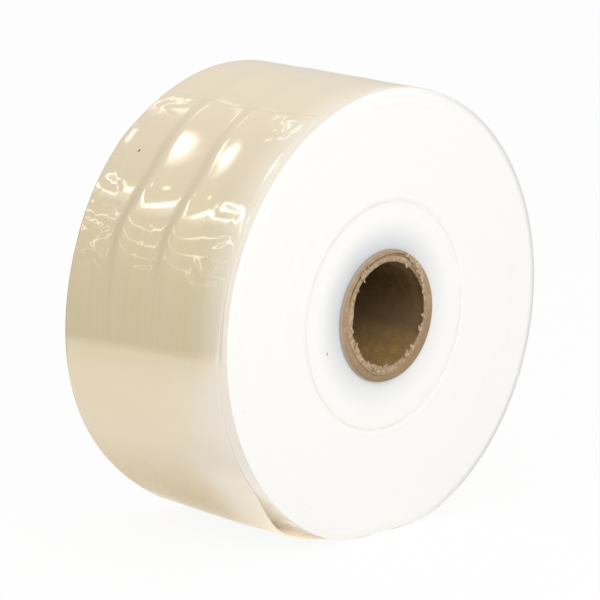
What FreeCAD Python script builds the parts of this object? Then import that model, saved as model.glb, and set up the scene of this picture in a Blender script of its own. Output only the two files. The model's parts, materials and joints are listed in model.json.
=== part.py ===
import FreeCAD, Part
import math
import os

# Roll of layflat polyethylene tubing on a spiral-wound cardboard core, lying on its curved side.
#
# The frame: the core's axis is Y, the end face that faces the viewer is at -Y, +Z is up, and the
# origin is at the middle of the core. All lengths are millimetres and all angles are degrees.
# A turn angle runs from 0 at the top of the roll over the viewer's side (-X), to 180 underneath.

# ---- Driving dimensions: the core ------------------------------------------------------------
core_bore = 76.2            # inside diameter
core_wall = 10.6            # thickness of the cardboard
core_overhang = 3.2         # length that stands out of the film at each end
torn_bevel_width = 2.4      # mean width of the torn inner rim, on the end of the core
torn_bevel_depth = 1.6      # how far the tear runs into the bore
torn_bevel_wobble = 0.9     # how far the torn rim wanders from its mean width
rim_chamfer = 0.6           # broken outer edge of the core

# ---- Driving dimensions: the wound film ------------------------------------------------------
film_width = 152.4          # width of the flat tubing, and so of the roll
roll_radius = 167.6         # radius of the wound turns
turn_build = 0.5            # what the outermost turn adds to the radius
flat_depth = 5.2            # how far the soft roll has settled at the bottom
flat_blend_radius = 142.0   # radius of the sides of the settled bottom
rim_fall_width = 5.0        # outermost turns, which fall away to the rim of the end face
rim_fall = 0.5              # how far they fall away
inner_band_width = 35.6     # band of turns next to the core, which have slipped inwards
inner_band_slip = 1.1       # how far they have slipped
band_step_width = 1.4       # radial width of the step between two bands

# ---- Driving dimensions: the turn below the tail, which comes over the top -------------------
upper_drift = 4.4           # how far it has slid towards the far end, at the top of the roll
upper_drift_starts = -62.0  # turn angles between which the slide grows
upper_drift_full = 5.0
upper_turn_ends = 50.0      # where it is out of sight under the loose turn
upper_build = 0.35          # how far it stands proud of the turns below it

# ---- Driving dimensions: the loose outer turn ------------------------------------------------
tail_angle = 24.6           # turn angle of the cut end, at the middle of its width
tail_bow = 2.4              # how much further up the two ends of the cut lie
smooth_angle = 104.0        # where the ridges have died out
pinch_margin = 1.0          # how far into the pinched turns the loose turn runs
tail_drift = 6.8            # how far the cut end has slid towards the far end of the roll
slack_drift = 12.0          # the most that it has slid, where it hangs slack
pinch_drift = 0.6           # the slide that is left where it is pinched under the roll
drift_starts = 70.0         # turn angles at which the slide grows, peaks at each edge, and is over
near_drift_peaks = 132.0
far_drift_peaks = 117.0
drift_ends = 174.0
slack_starts = 124.0        # the pocket: turn angles at its top, its widest place and its bottom
slack_peaks = 146.0
slack_ends = 172.0
slack_height = 8.9         # how far the pocket stands open at the near edge
slack_far_share = 0.15      # the share of that at the far edge
slack_far_lag = 14.0        # how much lower the pocket sits there, as a turn angle
pocket_film = 0.9           # thickness of the film that hangs in front of the pocket
landing_bend = 0.5          # softness of the bend where it comes down to the ground
near_ridge_height = 1.8     # height of the two ridges that run round the loose turn
far_ridge_height = 2.2
near_ridge = 58.0           # distance of each ridge's crest from the film's near edge
far_ridge = 104.0
near_ridge_rise = 24.0      # width of the gentle near flank of each ridge
far_ridge_rise = 38.0
ridge_hollow = 1.8          # how hollow that flank is: 1 would be straight
ridge_fall = 10.0           # width of the steep far flank
ridges_fade = (60.0, 96.0)  # turn angles between which the ridges die out
crest_bend = -3.5           # how far the crests bend to the near side, and where
crest_bend_angle = 48.0
crest_bend_spread = 7.0
crest_step = 4.5            # how far they step to the far side below that, and where
crest_step_angles = (57.0, 66.0)
cross_fold_height = 0.5     # height of the folds across the ridges
cross_fold_angles = (57.0, 66.0)
cross_fold_spread = 2.4     # half width of a cross fold, as a turn angle

# ---- Sizes that follow from them -------------------------------------------------------------
core_radius = core_bore / 2 + core_wall
core_length = film_width + 2 * core_overhang
rest_height = roll_radius - flat_depth
sunk = 2 * turn_build       # how far the loose turn is let into the turns below it
face = -film_width / 2      # plane of the near end face

# The settled bottom is a flat, blended into the round by an arc on each side.
blend_offset = roll_radius - flat_blend_radius
blend_height = flat_blend_radius - rest_height
flat_half = math.sqrt(blend_offset**2 - blend_height**2)
blend_angle = math.degrees(math.atan2(flat_half, -blend_height))
pinch_angle = 180 - math.degrees(math.atan2(flat_half, rest_height))


def at(turn, radius, y):
    """The point at a turn angle, a radius and a place along the roll."""
    a = math.radians(turn)
    return FreeCAD.Vector(-radius * math.sin(a), y, radius * math.cos(a))


def ramp(value, start, end):
    """0 before start, 1 after end, and smooth between them."""
    t = min(max((value - start) / (end - start), 0.0), 1.0)
    return t * t * (3 - 2 * t)


# ---- The wound turns -------------------------------------------------------------------------
def slip(radius):
    """How far the turns at a radius have slipped along the core, towards the far end."""
    inner_edge = core_radius + inner_band_width
    inner = inner_band_slip * (1 - ramp(radius, inner_edge, inner_edge + band_step_width))
    rim = (radius - roll_radius + rim_fall_width) / rim_fall_width
    return inner + rim_fall * max(rim, 0.0)


def end_face_radii():
    """The radii at which the section of an end face turns."""
    inner_edge = core_radius + inner_band_width
    rim_start = roll_radius - rim_fall_width
    outside = roll_radius + 2 * turn_build
    return [core_radius, inner_edge, inner_edge + band_step_width, rim_start, outside]


def wound_blank():
    """The turns as a ring: every turn has the same width, so a slip shows on both ends."""
    radii = end_face_radii()
    near = [FreeCAD.Vector(r, face + slip(r), 0) for r in radii]
    far = [FreeCAD.Vector(r, slip(r) - face, 0) for r in reversed(radii)]
    wire = Part.makePolygon(near + far + [near[0]])
    return Part.Face(wire).revolve(FreeCAD.Vector(), FreeCAD.Vector(0, 1, 0), 360)


def wound_outline(y):
    """The outline of the tight turns. The outermost one starts under the roll, where it is pinched,
    and comes round the back and over the top, down to the cut end of the tail."""
    def bottom(turn, lower):
        return at(turn, (rest_height + lower) / -math.cos(math.radians(turn)), y)

    def blend(turn, side, wider):
        a = math.radians(turn)
        radius = flat_blend_radius + wider
        x = side * flat_half + radius * -math.sin(a)
        return FreeCAD.Vector(x, y, blend_height + radius * math.cos(a))

    start = at(tail_angle, roll_radius, y)
    front_end = 180 - blend_angle
    back_start = 180 + blend_angle
    pinch = bottom(pinch_angle, 0)
    pinch_lower = bottom(pinch_angle, turn_build)
    flat_end = blend(180, 1, turn_build)
    round_start = blend(back_start, 1, turn_build)
    middle = (back_start + 360 + tail_angle) / 2
    edges = [
        Part.Arc(start, at((tail_angle + front_end) / 2, roll_radius, y), blend(front_end, -1, 0)),
        Part.Arc(blend(front_end, -1, 0), blend((front_end + 180) / 2, -1, 0), pinch),
        Part.LineSegment(pinch, pinch_lower),
        Part.LineSegment(pinch_lower, flat_end),
        Part.Arc(flat_end, blend((180 + back_start) / 2, 1, turn_build), round_start),
        Part.Arc(round_start, at(middle, roll_radius + turn_build / 2, y), start),
    ]
    return Part.Wire([edge.toShape() for edge in edges])


def wound_turns():
    """The tight turns, trimmed to their outline, with the core's seat through them."""
    reach = 2 * film_width
    trim = Part.Face(wound_outline(-reach / 2)).extrude(FreeCAD.Vector(0, reach, 0))
    return wound_blank().common(trim)


# ---- The loose outer turn --------------------------------------------------------------------
def wound_radius(turn):
    """The radius of the turns below the loose one, with their settled bottom."""
    off_bottom = math.radians(abs(180 - turn))
    if math.tan(off_bottom) * rest_height <= flat_half and turn > 90:
        return rest_height / math.cos(off_bottom)
    if math.degrees(off_bottom) >= blend_angle:
        return roll_radius
    swing = off_bottom - math.radians(blend_angle)
    across = blend_offset * math.sin(swing)
    return blend_offset * math.cos(swing) + math.sqrt(flat_blend_radius**2 - across**2)


def edge_drift(turn, peak):
    """How far one edge of the loose turn has slid along the roll, towards the far end."""
    grown = tail_drift + (slack_drift - tail_drift) * ramp(turn, drift_starts, peak)
    back = ramp(turn, peak, drift_ends)
    return grown * (1 - back) + pinch_drift * back


def drift(turn, across):
    """The same for any place across the film: the near edge slides back later than the far one."""
    near = edge_drift(turn, near_drift_peaks)
    far = edge_drift(turn, far_drift_peaks)
    return near + (far - near) * across


def slack(turn, across):
    """How far the loose turn hangs away from the roll. across is 0 at the near edge, 1 at the far."""
    lag = slack_far_lag * across
    opening = ramp(turn, slack_starts + lag, slack_peaks + lag)
    closing = (1 - ramp(turn, slack_peaks + lag, slack_ends)) ** 2.6
    return slack_height * opening * closing * (1 - (1 - slack_far_share) * across)


def crest_shift(turn):
    """How far the crests of both ridges have wandered towards the far end at a turn angle."""
    off = (turn - crest_bend_angle) / crest_bend_spread
    return crest_bend * math.exp(-off * off) + crest_step * ramp(turn, *crest_step_angles)


def ridge(across_mm, crest, rise):
    """The section of one ridge: a long hollow near flank, a crest, and a short steep far flank."""
    if across_mm <= crest:
        return max(0.0, 1 - (crest - across_mm) / rise) ** ridge_hollow
    return 1 - ramp(across_mm, crest, crest + ridge_fall)


def wrinkles(turn, across_mm):
    """The ridges that run round the loose turn, and the folds that cross them, as a height."""
    grows = 0.55 + 0.45 * ramp(turn, tail_angle, tail_angle + 14)
    fades = 1 - ramp(turn, *ridges_fade)
    place = across_mm - crest_shift(turn)
    near = ridge(place, near_ridge, near_ridge_rise)
    far = ridge(place, far_ridge, far_ridge_rise)
    height = (near_ridge_height * near + far_ridge_height * far) * grows * fades
    for angle in cross_fold_angles:
        off = (turn - angle - 4 * (near + far)) / cross_fold_spread
        height += cross_fold_height * math.exp(-off * off) * (1 - 0.5 * (near + far))
    return height


def tail_edge(across):
    """The turn angle of the cut end, which bows down in the middle of its width."""
    return tail_angle - tail_bow * (2 * across - 1) ** 2


def outer_radius(turn, across):
    height = wrinkles(turn, across * film_width) if turn < smooth_angle else 0.0
    pinched = 0.15 * turn_build * ramp(turn, slack_peaks, pinch_angle)
    hanging = wound_radius(turn) + turn_build - pinched + slack(turn, across) + height
    if turn < slack_peaks:
        return hanging
    # It lies on whatever the roll stands on, with a soft bend where it comes down to that.
    lying = (rest_height + turn_build) / -math.cos(math.radians(turn)) - pinched
    overlap = max(landing_bend - abs(hanging - lying), 0.0)
    return min(hanging, lying) - overlap**2 / (4 * landing_bend)


def inner_radius(turn, across):
    """The underside is let into the turns below, except where the pocket stands open."""
    lifted = ramp(slack(turn, across), 0.1 * pocket_film, 1.5 * pocket_film)
    tight = wound_radius(turn) - sunk
    return tight + (outer_radius(turn, across) - pocket_film - tight) * lifted


def turn_patch(radius_at, drift_at, turns, places, first_edge=None):
    """A smooth surface through points at evenly spaced turns and places across the film."""
    start, end, steps = turns
    rows = []
    for i in range(steps + 1):
        row = []
        for j in range(places + 1):
            across = j / places
            begin = first_edge(across) if first_edge else start
            turn = begin + (end - begin) * i / steps
            y = face + drift_at(turn, across) + across * film_width
            row.append(at(turn, radius_at(turn, across), y))
        rows.append(row)
    surface = Part.BSplineSurface()
    surface.interpolate(rows)
    return surface


def rims(surface):
    """The four edges of a patch: at its first and last turn, and along its near and far edge."""
    u0, u1, v0, v1 = surface.bounds()
    curves = (surface.uIso(u0), surface.uIso(u1), surface.vIso(v0), surface.vIso(v1))
    return [curve.toShape() for curve in curves]


def film_solid(outside, inside):
    """The closed solid between patches that follow each other along the outside and the inside."""
    faces = [surface.toShape() for surface in outside + inside]
    for upper, lower in zip(outside, inside):
        faces += [Part.makeRuledSurface(rims(upper)[k], rims(lower)[k]) for k in (2, 3)]
    faces.append(Part.makeRuledSurface(rims(outside[0])[0], rims(inside[0])[0]))
    faces.append(Part.makeRuledSurface(rims(outside[-1])[1], rims(inside[-1])[1]))
    shell = Part.makeShell(faces)
    shell.sewShape()
    solid = Part.Solid(shell.Shells[0])
    if solid.Volume < 0:
        solid.reverse()
    return solid


def loose_turn():
    """The loose outer turn: a wrinkled patch below the cut end, and a smooth one that hangs out
    in front of the pocket and is pinched under the roll."""
    hanging = (smooth_angle, pinch_angle + pinch_margin, 24)
    outside = [
        turn_patch(outer_radius, drift, (tail_angle, smooth_angle, 40), 34, tail_edge),
        turn_patch(outer_radius, drift, hanging, 6),
    ]
    inside = [
        turn_patch(inner_radius, drift, (tail_angle, smooth_angle, 12), 8, tail_edge),
        turn_patch(inner_radius, drift, hanging, 6),
    ]
    return film_solid(outside, inside)


# ---- The turn below the tail -----------------------------------------------------------------
def upper_drift_at(turn, across):
    return pinch_drift + (upper_drift - pinch_drift) * ramp(turn, upper_drift_starts, upper_drift_full)


def upper_outer_radius(turn, across):
    """It rises out of the turns on the back of the roll, and sinks again under the loose turn."""
    shown = ramp(turn, upper_drift_starts, upper_drift_starts / 2)
    shown *= 1 - ramp(turn, (tail_angle + upper_turn_ends) / 2, upper_turn_ends)
    return roll_radius + turn_build * (shown - 1) + (upper_build + back_build(turn)) * shown


def back_build(turn):
    """What is left of the outermost turn's build where it comes over the back of the roll."""
    return turn_build * max(tail_angle - turn, 0.0) / (180 + tail_angle - blend_angle)


def upper_inner_radius(turn, across):
    return roll_radius - 2 * sunk


def upper_turn():
    """The last tight turn, over the top of the roll and down under the cut end of the tail."""
    turns = (upper_drift_starts, upper_turn_ends, 16)
    outside = [turn_patch(upper_outer_radius, upper_drift_at, turns, 4)]
    inside = [turn_patch(upper_inner_radius, upper_drift_at, turns, 4)]
    return film_solid(outside, inside)


def film_roll():
    return wound_turns().fuse([upper_turn(), loose_turn()])


# ---- The core --------------------------------------------------------------------------------
def torn_outline(y, width, wobble):
    """A closed curve round the bore, at a mean width outside it, wandering by the wobble."""
    count = 36
    points = []
    for k in range(count):
        a = 360 * k / count
        wander = math.sin(math.radians(5 * a)) + 0.7 * math.sin(math.radians(11 * a + 50))
        points.append(at(a, core_bore / 2 + width + wobble * wander / 1.7, y))
    curve = Part.BSplineCurve()
    curve.interpolate(points, PeriodicFlag=True)
    return Part.Wire([curve.toShape()])


def torn_bevel(side):
    """What the torn inner rim lacks at one end of the core: a ragged funnel into the bore. It runs
    on by a fifth past the end of the core and past the wall of the bore, so that it cuts clean."""
    end = side * core_length / 2
    past = 0.2
    outside = end + side * past * torn_bevel_depth
    inside = end - side * (1 + past) * torn_bevel_depth
    mouth = torn_outline(outside, torn_bevel_width * (1 + past), torn_bevel_wobble)
    throat = torn_outline(inside, -torn_bevel_width * past, 0)
    return Part.makeLoft([mouth, throat], True, False)


def cardboard_core():
    axis = FreeCAD.Vector(0, 1, 0)
    start = FreeCAD.Vector(0, -core_length / 2, 0)
    tube = Part.makeCylinder(core_radius, core_length, start, axis)
    outer_rims = [e for e in tube.Edges if isinstance(e.Curve, Part.Circle)]
    tube = tube.makeChamfer(rim_chamfer, outer_rims)
    reach = 2 * core_length
    bore = Part.makeCylinder(core_bore / 2, reach, FreeCAD.Vector(0, -reach / 2, 0), axis)
    tube = tube.cut(bore)
    for side in (-1, 1):
        tube = tube.cut(torn_bevel(side))
    return tube


# ---- The two pieces --------------------------------------------------------------------------
os.makedirs("parts", exist_ok=True)
for name, build in (("film_roll", film_roll), ("cardboard_core", cardboard_core)):
    shape = build()
    shape.exportStep(f"parts/{name}.step")
    print(name, "solids", len(shape.Solids), "valid", shape.isValid(), "faces", len(shape.Faces))
    print("   volume litres", round(shape.Volume / 1e6, 4), "box", shape.BoundBox)
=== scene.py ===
# %% [markdown]
# # A roll of layflat poly tubing
# The object is a heavy roll of clear polyethylene tubing, wound flat on a brown cardboard core. It
# lies on its curved side. The packed model gives the two solid bodies, the film and the core, and
# this script builds what is seen of them: the cut ends of the turns, the last tight turn, the loose
# outer turn with its wrinkles and its open pocket, and the torn cardboard core.

# %% Load the packed model
import json
import math

import bmesh
import bpy
import numpy as np
from mathutils import Matrix, Vector


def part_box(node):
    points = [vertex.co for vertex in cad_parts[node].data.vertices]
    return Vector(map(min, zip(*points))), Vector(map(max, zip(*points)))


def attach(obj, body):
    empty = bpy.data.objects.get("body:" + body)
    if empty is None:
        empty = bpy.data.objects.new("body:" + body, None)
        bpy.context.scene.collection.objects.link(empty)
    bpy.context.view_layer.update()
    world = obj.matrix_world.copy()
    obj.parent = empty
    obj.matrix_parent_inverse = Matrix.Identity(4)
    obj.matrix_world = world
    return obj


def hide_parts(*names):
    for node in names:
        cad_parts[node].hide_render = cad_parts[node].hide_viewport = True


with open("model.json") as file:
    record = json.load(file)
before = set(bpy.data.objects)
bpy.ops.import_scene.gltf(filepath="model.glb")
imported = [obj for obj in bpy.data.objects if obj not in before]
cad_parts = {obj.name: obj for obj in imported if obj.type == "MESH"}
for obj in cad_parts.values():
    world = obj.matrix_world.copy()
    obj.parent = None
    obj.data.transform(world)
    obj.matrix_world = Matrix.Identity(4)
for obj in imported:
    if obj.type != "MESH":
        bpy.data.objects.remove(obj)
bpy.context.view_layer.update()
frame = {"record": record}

mm = 0.001
film_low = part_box("film_roll")[0]
core_low, core_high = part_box("cardboard_core")


def in_mm(*lengths):
    return [round(float(length) / mm, 1) for length in lengths]


# %% [markdown]
# The sizes come from the packed model where it has them. The rest are the same driving dimensions
# that the model's source has, so that both describe one roll. A turn angle runs from 0 at the top
# of the roll, over the viewer's side at -X, to 180 degrees underneath. The core's axis is Y, and
# the end that faces the viewer is at -Y.

# %% Sizes of the roll
mount = {m["name"]: m for m in frame["record"]["mounts"]}
bore_radius = mount["core_bore"]["dims"]["r_mm"] * mm
core_radius = core_high.z
core_length = core_high.y - core_low.y
ground = film_low.z
near_face = film_low.y
film_width = -2 * near_face
turn_build = 0.5 * mm           # what the outermost turn adds to the radius
roll_radius = 167.6 * mm        # radius of the tight turns
rest_height = -ground - turn_build
flat_blend_radius = 142.0 * mm  # radius of the sides of the settled bottom
inner_band_width = 35.6 * mm    # how far the band of turns next to the core reaches
blend_offset = roll_radius - flat_blend_radius
blend_height = flat_blend_radius - rest_height
flat_half = math.sqrt(blend_offset**2 - blend_height**2)
blend_angle = math.degrees(math.atan2(flat_half, -blend_height))
pinch_angle = 180 - math.degrees(math.atan2(flat_half, rest_height))
print("film width and rest height, mm", in_mm(film_width, rest_height))

# %% [markdown]
# Every sheet of film on the roll is described by a few rules: its radius and its sideways drift at
# a turn angle and a place across its width. The rules work on whole arrays of points at once.

# %% Rules that the turns of film follow
def ramp(value, start, end):
    """0 before start, 1 after end, and smooth between them."""
    t = np.clip((value - start) / (end - start), 0, 1)
    return t * t * (3 - 2 * t)


def at(turn, radius, y):
    """Points at turn angles, radii and places along the roll, as an array of rows."""
    a = np.radians(turn)
    return np.stack(np.broadcast_arrays(-radius * np.sin(a), y, radius * np.cos(a)), -1)


def wound_radius(turn):
    """The radius of the tight turns, with the flat that they have settled on."""
    off_bottom = np.radians(np.abs((np.asarray(turn, float) % 360) - 180))
    swing = off_bottom - math.radians(blend_angle)
    blend = blend_offset * np.cos(swing)
    blend = blend + np.sqrt(flat_blend_radius**2 - (blend_offset * np.sin(swing)) ** 2)
    # Both limits lie far beyond the flat, and keep the rest of the roll out of its sums.
    flat = rest_height / np.maximum(np.cos(off_bottom), 0.5)
    on_flat = np.tan(np.minimum(off_bottom, 1.0)) * rest_height <= flat_half
    on_side = np.degrees(off_bottom) >= blend_angle
    return np.where(on_flat, flat, np.where(on_side, roll_radius, blend))


print("radius at the side and underneath, mm", in_mm(wound_radius(90), wound_radius(180)))

# %% [markdown]
# The camera stands low, between the near end and the wound side at -X, far off with a long lens, so
# that the round end looks like an upright oval. Its direction is written as an azimuth and an
# elevation, and a small roll angle tilts the view as a hand-held camera does.

# %% Camera
camera_azimuth = -47.392
camera_elevation = 12.700
camera_roll = 0.457
camera_distance = 3.8844
camera_lens = 315.70
camera_target = Vector((-2.368, 6.502, -0.888)) * mm


def direction(azimuth, elevation):
    """The unit vector from the roll to something. Azimuth 0 is at -Y, and 90 at +X."""
    a, e = math.radians(azimuth), math.radians(elevation)
    return Vector((math.sin(a) * math.cos(e), -math.cos(a) * math.cos(e), math.sin(e)))


def add_camera():
    data = bpy.data.cameras.new("camera")
    data.lens = camera_lens
    data.sensor_width = 36
    data.clip_start = 0.1
    data.clip_end = 100
    camera = bpy.data.objects.new("camera", data)
    bpy.context.scene.collection.objects.link(camera)
    back = direction(camera_azimuth, camera_elevation)
    tilt = Matrix.Rotation(math.radians(camera_roll), 3, "Z").to_quaternion()
    camera.location = camera_target + back * camera_distance
    camera.rotation_mode = "QUATERNION"
    camera.rotation_quaternion = back.to_track_quat("Z", "Y") @ tilt
    bpy.context.scene.camera = camera
    return camera


camera = add_camera()
bpy.context.scene.view_settings.view_transform = "Standard"
print("camera at", [round(x, 3) for x in camera.location])

# %% [markdown]
# Shader trees and geometry trees are both made of nodes that are joined by links. One small helper
# adds a node and fills its inputs, from a plain value or from another node's output, so that a tree
# can be read in the script from top to bottom.

# %% Helper for node trees
class Nodes:
    """Adds nodes to a node tree, from left to right."""

    def __init__(self, tree):
        self.tree = tree
        self.count = 0

    def add(self, kind, inputs=None, **settings):
        node = self.tree.nodes.new(kind)
        node.location = (180 * (self.count % 12), -220 * (self.count // 12))
        self.count += 1
        for name, value in settings.items():
            setattr(node, name, value)
        self.set(node, inputs or {})
        return node

    def set(self, node, inputs):
        for key, value in inputs.items():
            self.fill(node.inputs[key], value)

    def fill(self, socket, value):
        if isinstance(value, bpy.types.NodeSocket):
            self.tree.links.new(value, socket)
        else:
            socket.default_value = value

    def show(self, shader):
        """Makes a shader what the material shows."""
        self.set(self.tree.nodes["Material Output"], {"Surface": shader.outputs[0]})

    def maths(self, operation, *values):
        node = self.add("ShaderNodeMath", operation=operation)
        for socket, value in zip(node.inputs, values):
            self.fill(socket, value)
        return node.outputs[0]

    def times(self, product, *others):
        for value in others:
            product = self.maths("MULTIPLY", product, value)
        return product

    def less(self, first, second):
        return self.maths("SUBTRACT", first, second)

    def place(self):
        """Where a point is on its object."""
        return self.add("ShaderNodeTexCoord").outputs["Object"]

    def parts(self, vector):
        return self.add("ShaderNodeSeparateXYZ", {"Vector": vector}).outputs

    def vector(self, x, y, z):
        return self.add("ShaderNodeCombineXYZ", {"X": x, "Y": y, "Z": z}).outputs[0]


print("node helper:", [name for name in vars(Nodes) if name[0] != "_"])

# %% [markdown]
# A few node patterns come back in many trees: a number mapped to another range, a colour between
# two colours, noise, a random number for each point, and a node group in its place. They are added
# to the helper.

# %% Patterns of nodes
class Tree(Nodes):
    """The helper, with the patterns that come back."""

    def span(self, value, low, high, to_low=0.0, to_high=1.0, smooth=True):
        """value mapped from one range to another, and held at the ends."""
        inputs = {"Value": value, "From Min": low, "From Max": high,
                  "To Min": to_low, "To Max": to_high}
        kind = "SMOOTHSTEP" if smooth else "LINEAR"
        return self.add("ShaderNodeMapRange", inputs, interpolation_type=kind).outputs["Result"]

    def facing(self, turn, towards):
        """1 at the turn angle towards, 0 a quarter turn away from it, and -1 opposite it."""
        return self.maths("COSINE", self.maths("RADIANS", self.less(turn, towards)))

    def mix(self, share, first, second):
        """A colour between two colours."""
        node = self.add("ShaderNodeMix", data_type="RGBA")
        sockets = [s for s in node.inputs if s.type == "RGBA"]
        self.fill(node.inputs["Factor"], share)
        self.fill(sockets[0], first)
        self.fill(sockets[1], second)
        return next(s for s in node.outputs if s.type == "RGBA")

    def layers(self, body, *coats):
        """A colour with others laid over it, each by its own share."""
        for share, tone in coats:
            body = self.mix(share, body, tone)
        return body

    def noise(self, place, scale, detail=2.0, roughness=0.5):
        inputs = {"Vector": place, "Scale": scale, "Detail": detail, "Roughness": roughness}
        return self.add("ShaderNodeTexNoise", inputs).outputs["Fac"]

    def random(self, low, high, seed):
        """A random number for each point of a geometry tree."""
        node = self.add("FunctionNodeRandomValue", {"Seed": seed}, data_type="FLOAT")
        ends = [s for s in node.inputs if s.type == "VALUE"]
        self.fill(ends[0], low)
        self.fill(ends[1], high)
        return next(s for s in node.outputs if s.type == "VALUE")

    def group(self, group, **inputs):
        """A shader node group, with its inputs by name; an underscore stands for a space."""
        node = self.add("ShaderNodeGroup", node_tree=group)
        self.set(node, {name.replace("_", " "): value for name, value in inputs.items()})
        return node.outputs


print("node patterns:", [name for name in vars(Tree) if name[0] != "_"])

# %% [markdown]
# Colours are written as they look on a screen, and every node group and every material starts in
# the same way, so three small functions do that.

# %% Colours, node groups and materials
def colour(red, green, blue):
    """A screen colour, 0 to 255, as the linear values that shaders take."""
    def linear(x):
        x /= 255
        return x / 12.92 if x <= 0.04045 else ((x + 0.055) / 1.055) ** 2.4
    return (linear(red), linear(green), linear(blue), 1.0)


def new_group(name, inputs, outputs):
    """A shader node group with float inputs {name: value} and outputs, and its two end nodes."""
    group = bpy.data.node_groups.new(name, "ShaderNodeTree")
    for label, value in inputs.items():
        socket = group.interface.new_socket(label, in_out="INPUT", socket_type="NodeSocketFloat")
        socket.default_value = value
    for label in outputs:
        group.interface.new_socket(label, in_out="OUTPUT", socket_type="NodeSocketFloat")
    tree = Tree(group)
    return group, tree, tree.add("NodeGroupInput").outputs, tree.add("NodeGroupOutput")


def new_material(name):
    """A material with a Principled BSDF, and the tree to add to."""
    material = bpy.data.materials.new(name)
    material.use_nodes = True
    shader = material.node_tree.nodes["Principled BSDF"]
    return material, Tree(material.node_tree), shader


black = colour(0, 0, 0)
print("half grey as a linear value:", round(colour(128, 128, 128)[0], 3))

# %% [markdown]
# Two effects are used by more than one finish, so each is a node group. The first turns a point's
# place into roll measures: its turn angle, its distance from the near end and its radius.

# %% Shared effect: measures of the roll
def add_roll_measures(tree):
    """Adds nodes that give a point's turn angle, distance from the near end and radius."""
    parts = tree.parts(tree.place())
    turn = tree.maths("DEGREES", tree.maths("ARCTAN2", tree.times(parts["X"], -1.0), parts["Z"]))
    along = tree.maths("DIVIDE", tree.less(parts["Y"], near_face), mm)
    square = tree.maths("ADD", tree.maths("POWER", parts["X"], 2.0),
                        tree.maths("POWER", parts["Z"], 2.0))
    return turn, along, tree.maths("DIVIDE", tree.maths("SQRT", square), mm)


def make_roll_places():
    group, tree, _, end = new_group("roll_places", {}, ["Turn", "Along", "Radius"])
    tree.set(end, dict(zip(("Turn", "Along", "Radius"), add_roll_measures(tree))))
    return group


roll_places = make_roll_places()
print("shared effect:", roll_places.name)

# %% [markdown]
# The second shared effect gives long streaks that run round the roll, as pulled film and wound
# board both have. It is noise on a circle, so that the streaks meet where the turn closes.

# %% Shared effect: streaks round the roll
def make_turn_streaks():
    """Streaks that are long round the roll and narrow across it. Turn and Length are in degrees."""
    inputs = {"Turn": 0.0, "Across": 0.0, "Streaks per mm": 0.2, "Length": 60.0, "Seed": 0.0}
    group, tree, given, end = new_group("turn_streaks", inputs, ["Streak"])
    angle = tree.maths("RADIANS", given["Turn"])
    reach = tree.maths("DIVIDE", math.degrees(1.0), given["Length"])
    place = tree.vector(tree.times(tree.maths("SINE", angle), reach),
                        tree.times(given["Across"], given["Streaks per mm"]),
                        tree.times(tree.maths("COSINE", angle), reach))
    inputs = {"Vector": place, "W": given["Seed"], "Scale": 1.0, "Detail": 3.0, "Roughness": 0.6}
    noise = tree.add("ShaderNodeTexNoise", inputs, noise_dimensions="4D")
    tree.set(end, {"Streak": tree.span(noise.outputs["Fac"], 0.3, 0.7)})
    return group


turn_streaks = make_turn_streaks()
print("shared effect:", turn_streaks.name)

# %% [markdown]
# The wound side of the roll is many layers of clear glossy film. The light goes a few layers deep
# and comes back warm, so the side is a pale ochre. Over it light and shade are painted: it pales
# towards the cut end, where light comes in from the end as well, it is lighter at the top and below
# the side's middle, and it is a darker ochre low down towards the far end. The colours are laid
# over one another, each by its own share.

# %% Colour of the wound side
layer_ochre = colour(226, 210, 173)


def side_colour(tree, turn, along):
    streak = tree.group(turn_streaks, Turn=turn, Across=along, Seed=1.0)["Streak"]
    # Painted light: the side is lighter towards the top.
    painted_light_above = tree.span(turn, 72.0, 30.0)
    # Painted light: below the side's middle the light from the table fills the layers.
    painted_light_below = tree.span(turn, 92.0, 106.0)
    # Painted shade: a darker ochre low down towards the far end.
    painted_shade_far_below = tree.times(tree.span(turn, 118.0, 150.0), tree.span(along, 20.0, 120.0))
    # Painted light: paler near the cut end, and further in below the side's middle.
    near_edge = tree.times(tree.span(along, 36.0, 0.0), 0.85)
    painted_light_wide_edge = tree.times(tree.span(along, 84.0, 12.0), painted_light_below, 0.55)
    return tree.layers(layer_ochre,
                       (painted_light_above, colour(234, 219, 191)),
                       (painted_light_below, colour(238, 219, 180)),
                       (painted_shade_far_below, colour(210, 182, 128)),
                       (tree.times(streak, 0.35), colour(232, 218, 187)),
                       (near_edge, colour(246, 238, 223)),
                       (painted_light_wide_edge, colour(242, 234, 221)))


def pass_light(tree, shader, body, tone, thin):
    """Lets a share of the light through from behind, where the loose turn hangs free."""
    # A group's outputs may not reach a Translucent shader, so the measures are made here.
    turn, along, _ = add_roll_measures(tree)
    share = tree.times(tree.span(turn, 112.0, 130.0), tree.span(along, 20.0, 120.0, 1.0, 0.1), thin)
    passed = tree.add("ShaderNodeBsdfTranslucent", {"Color": tree.mix(share, black, tone)})
    tree.show(tree.add("ShaderNodeAddShader", {0: shader.outputs[0], 1: passed.outputs[0]}))
    return tree.mix(tree.times(share, 0.5), body, black)


print("ochre of the layers, linear:", [round(x, 3) for x in layer_ochre[:3]])
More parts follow.
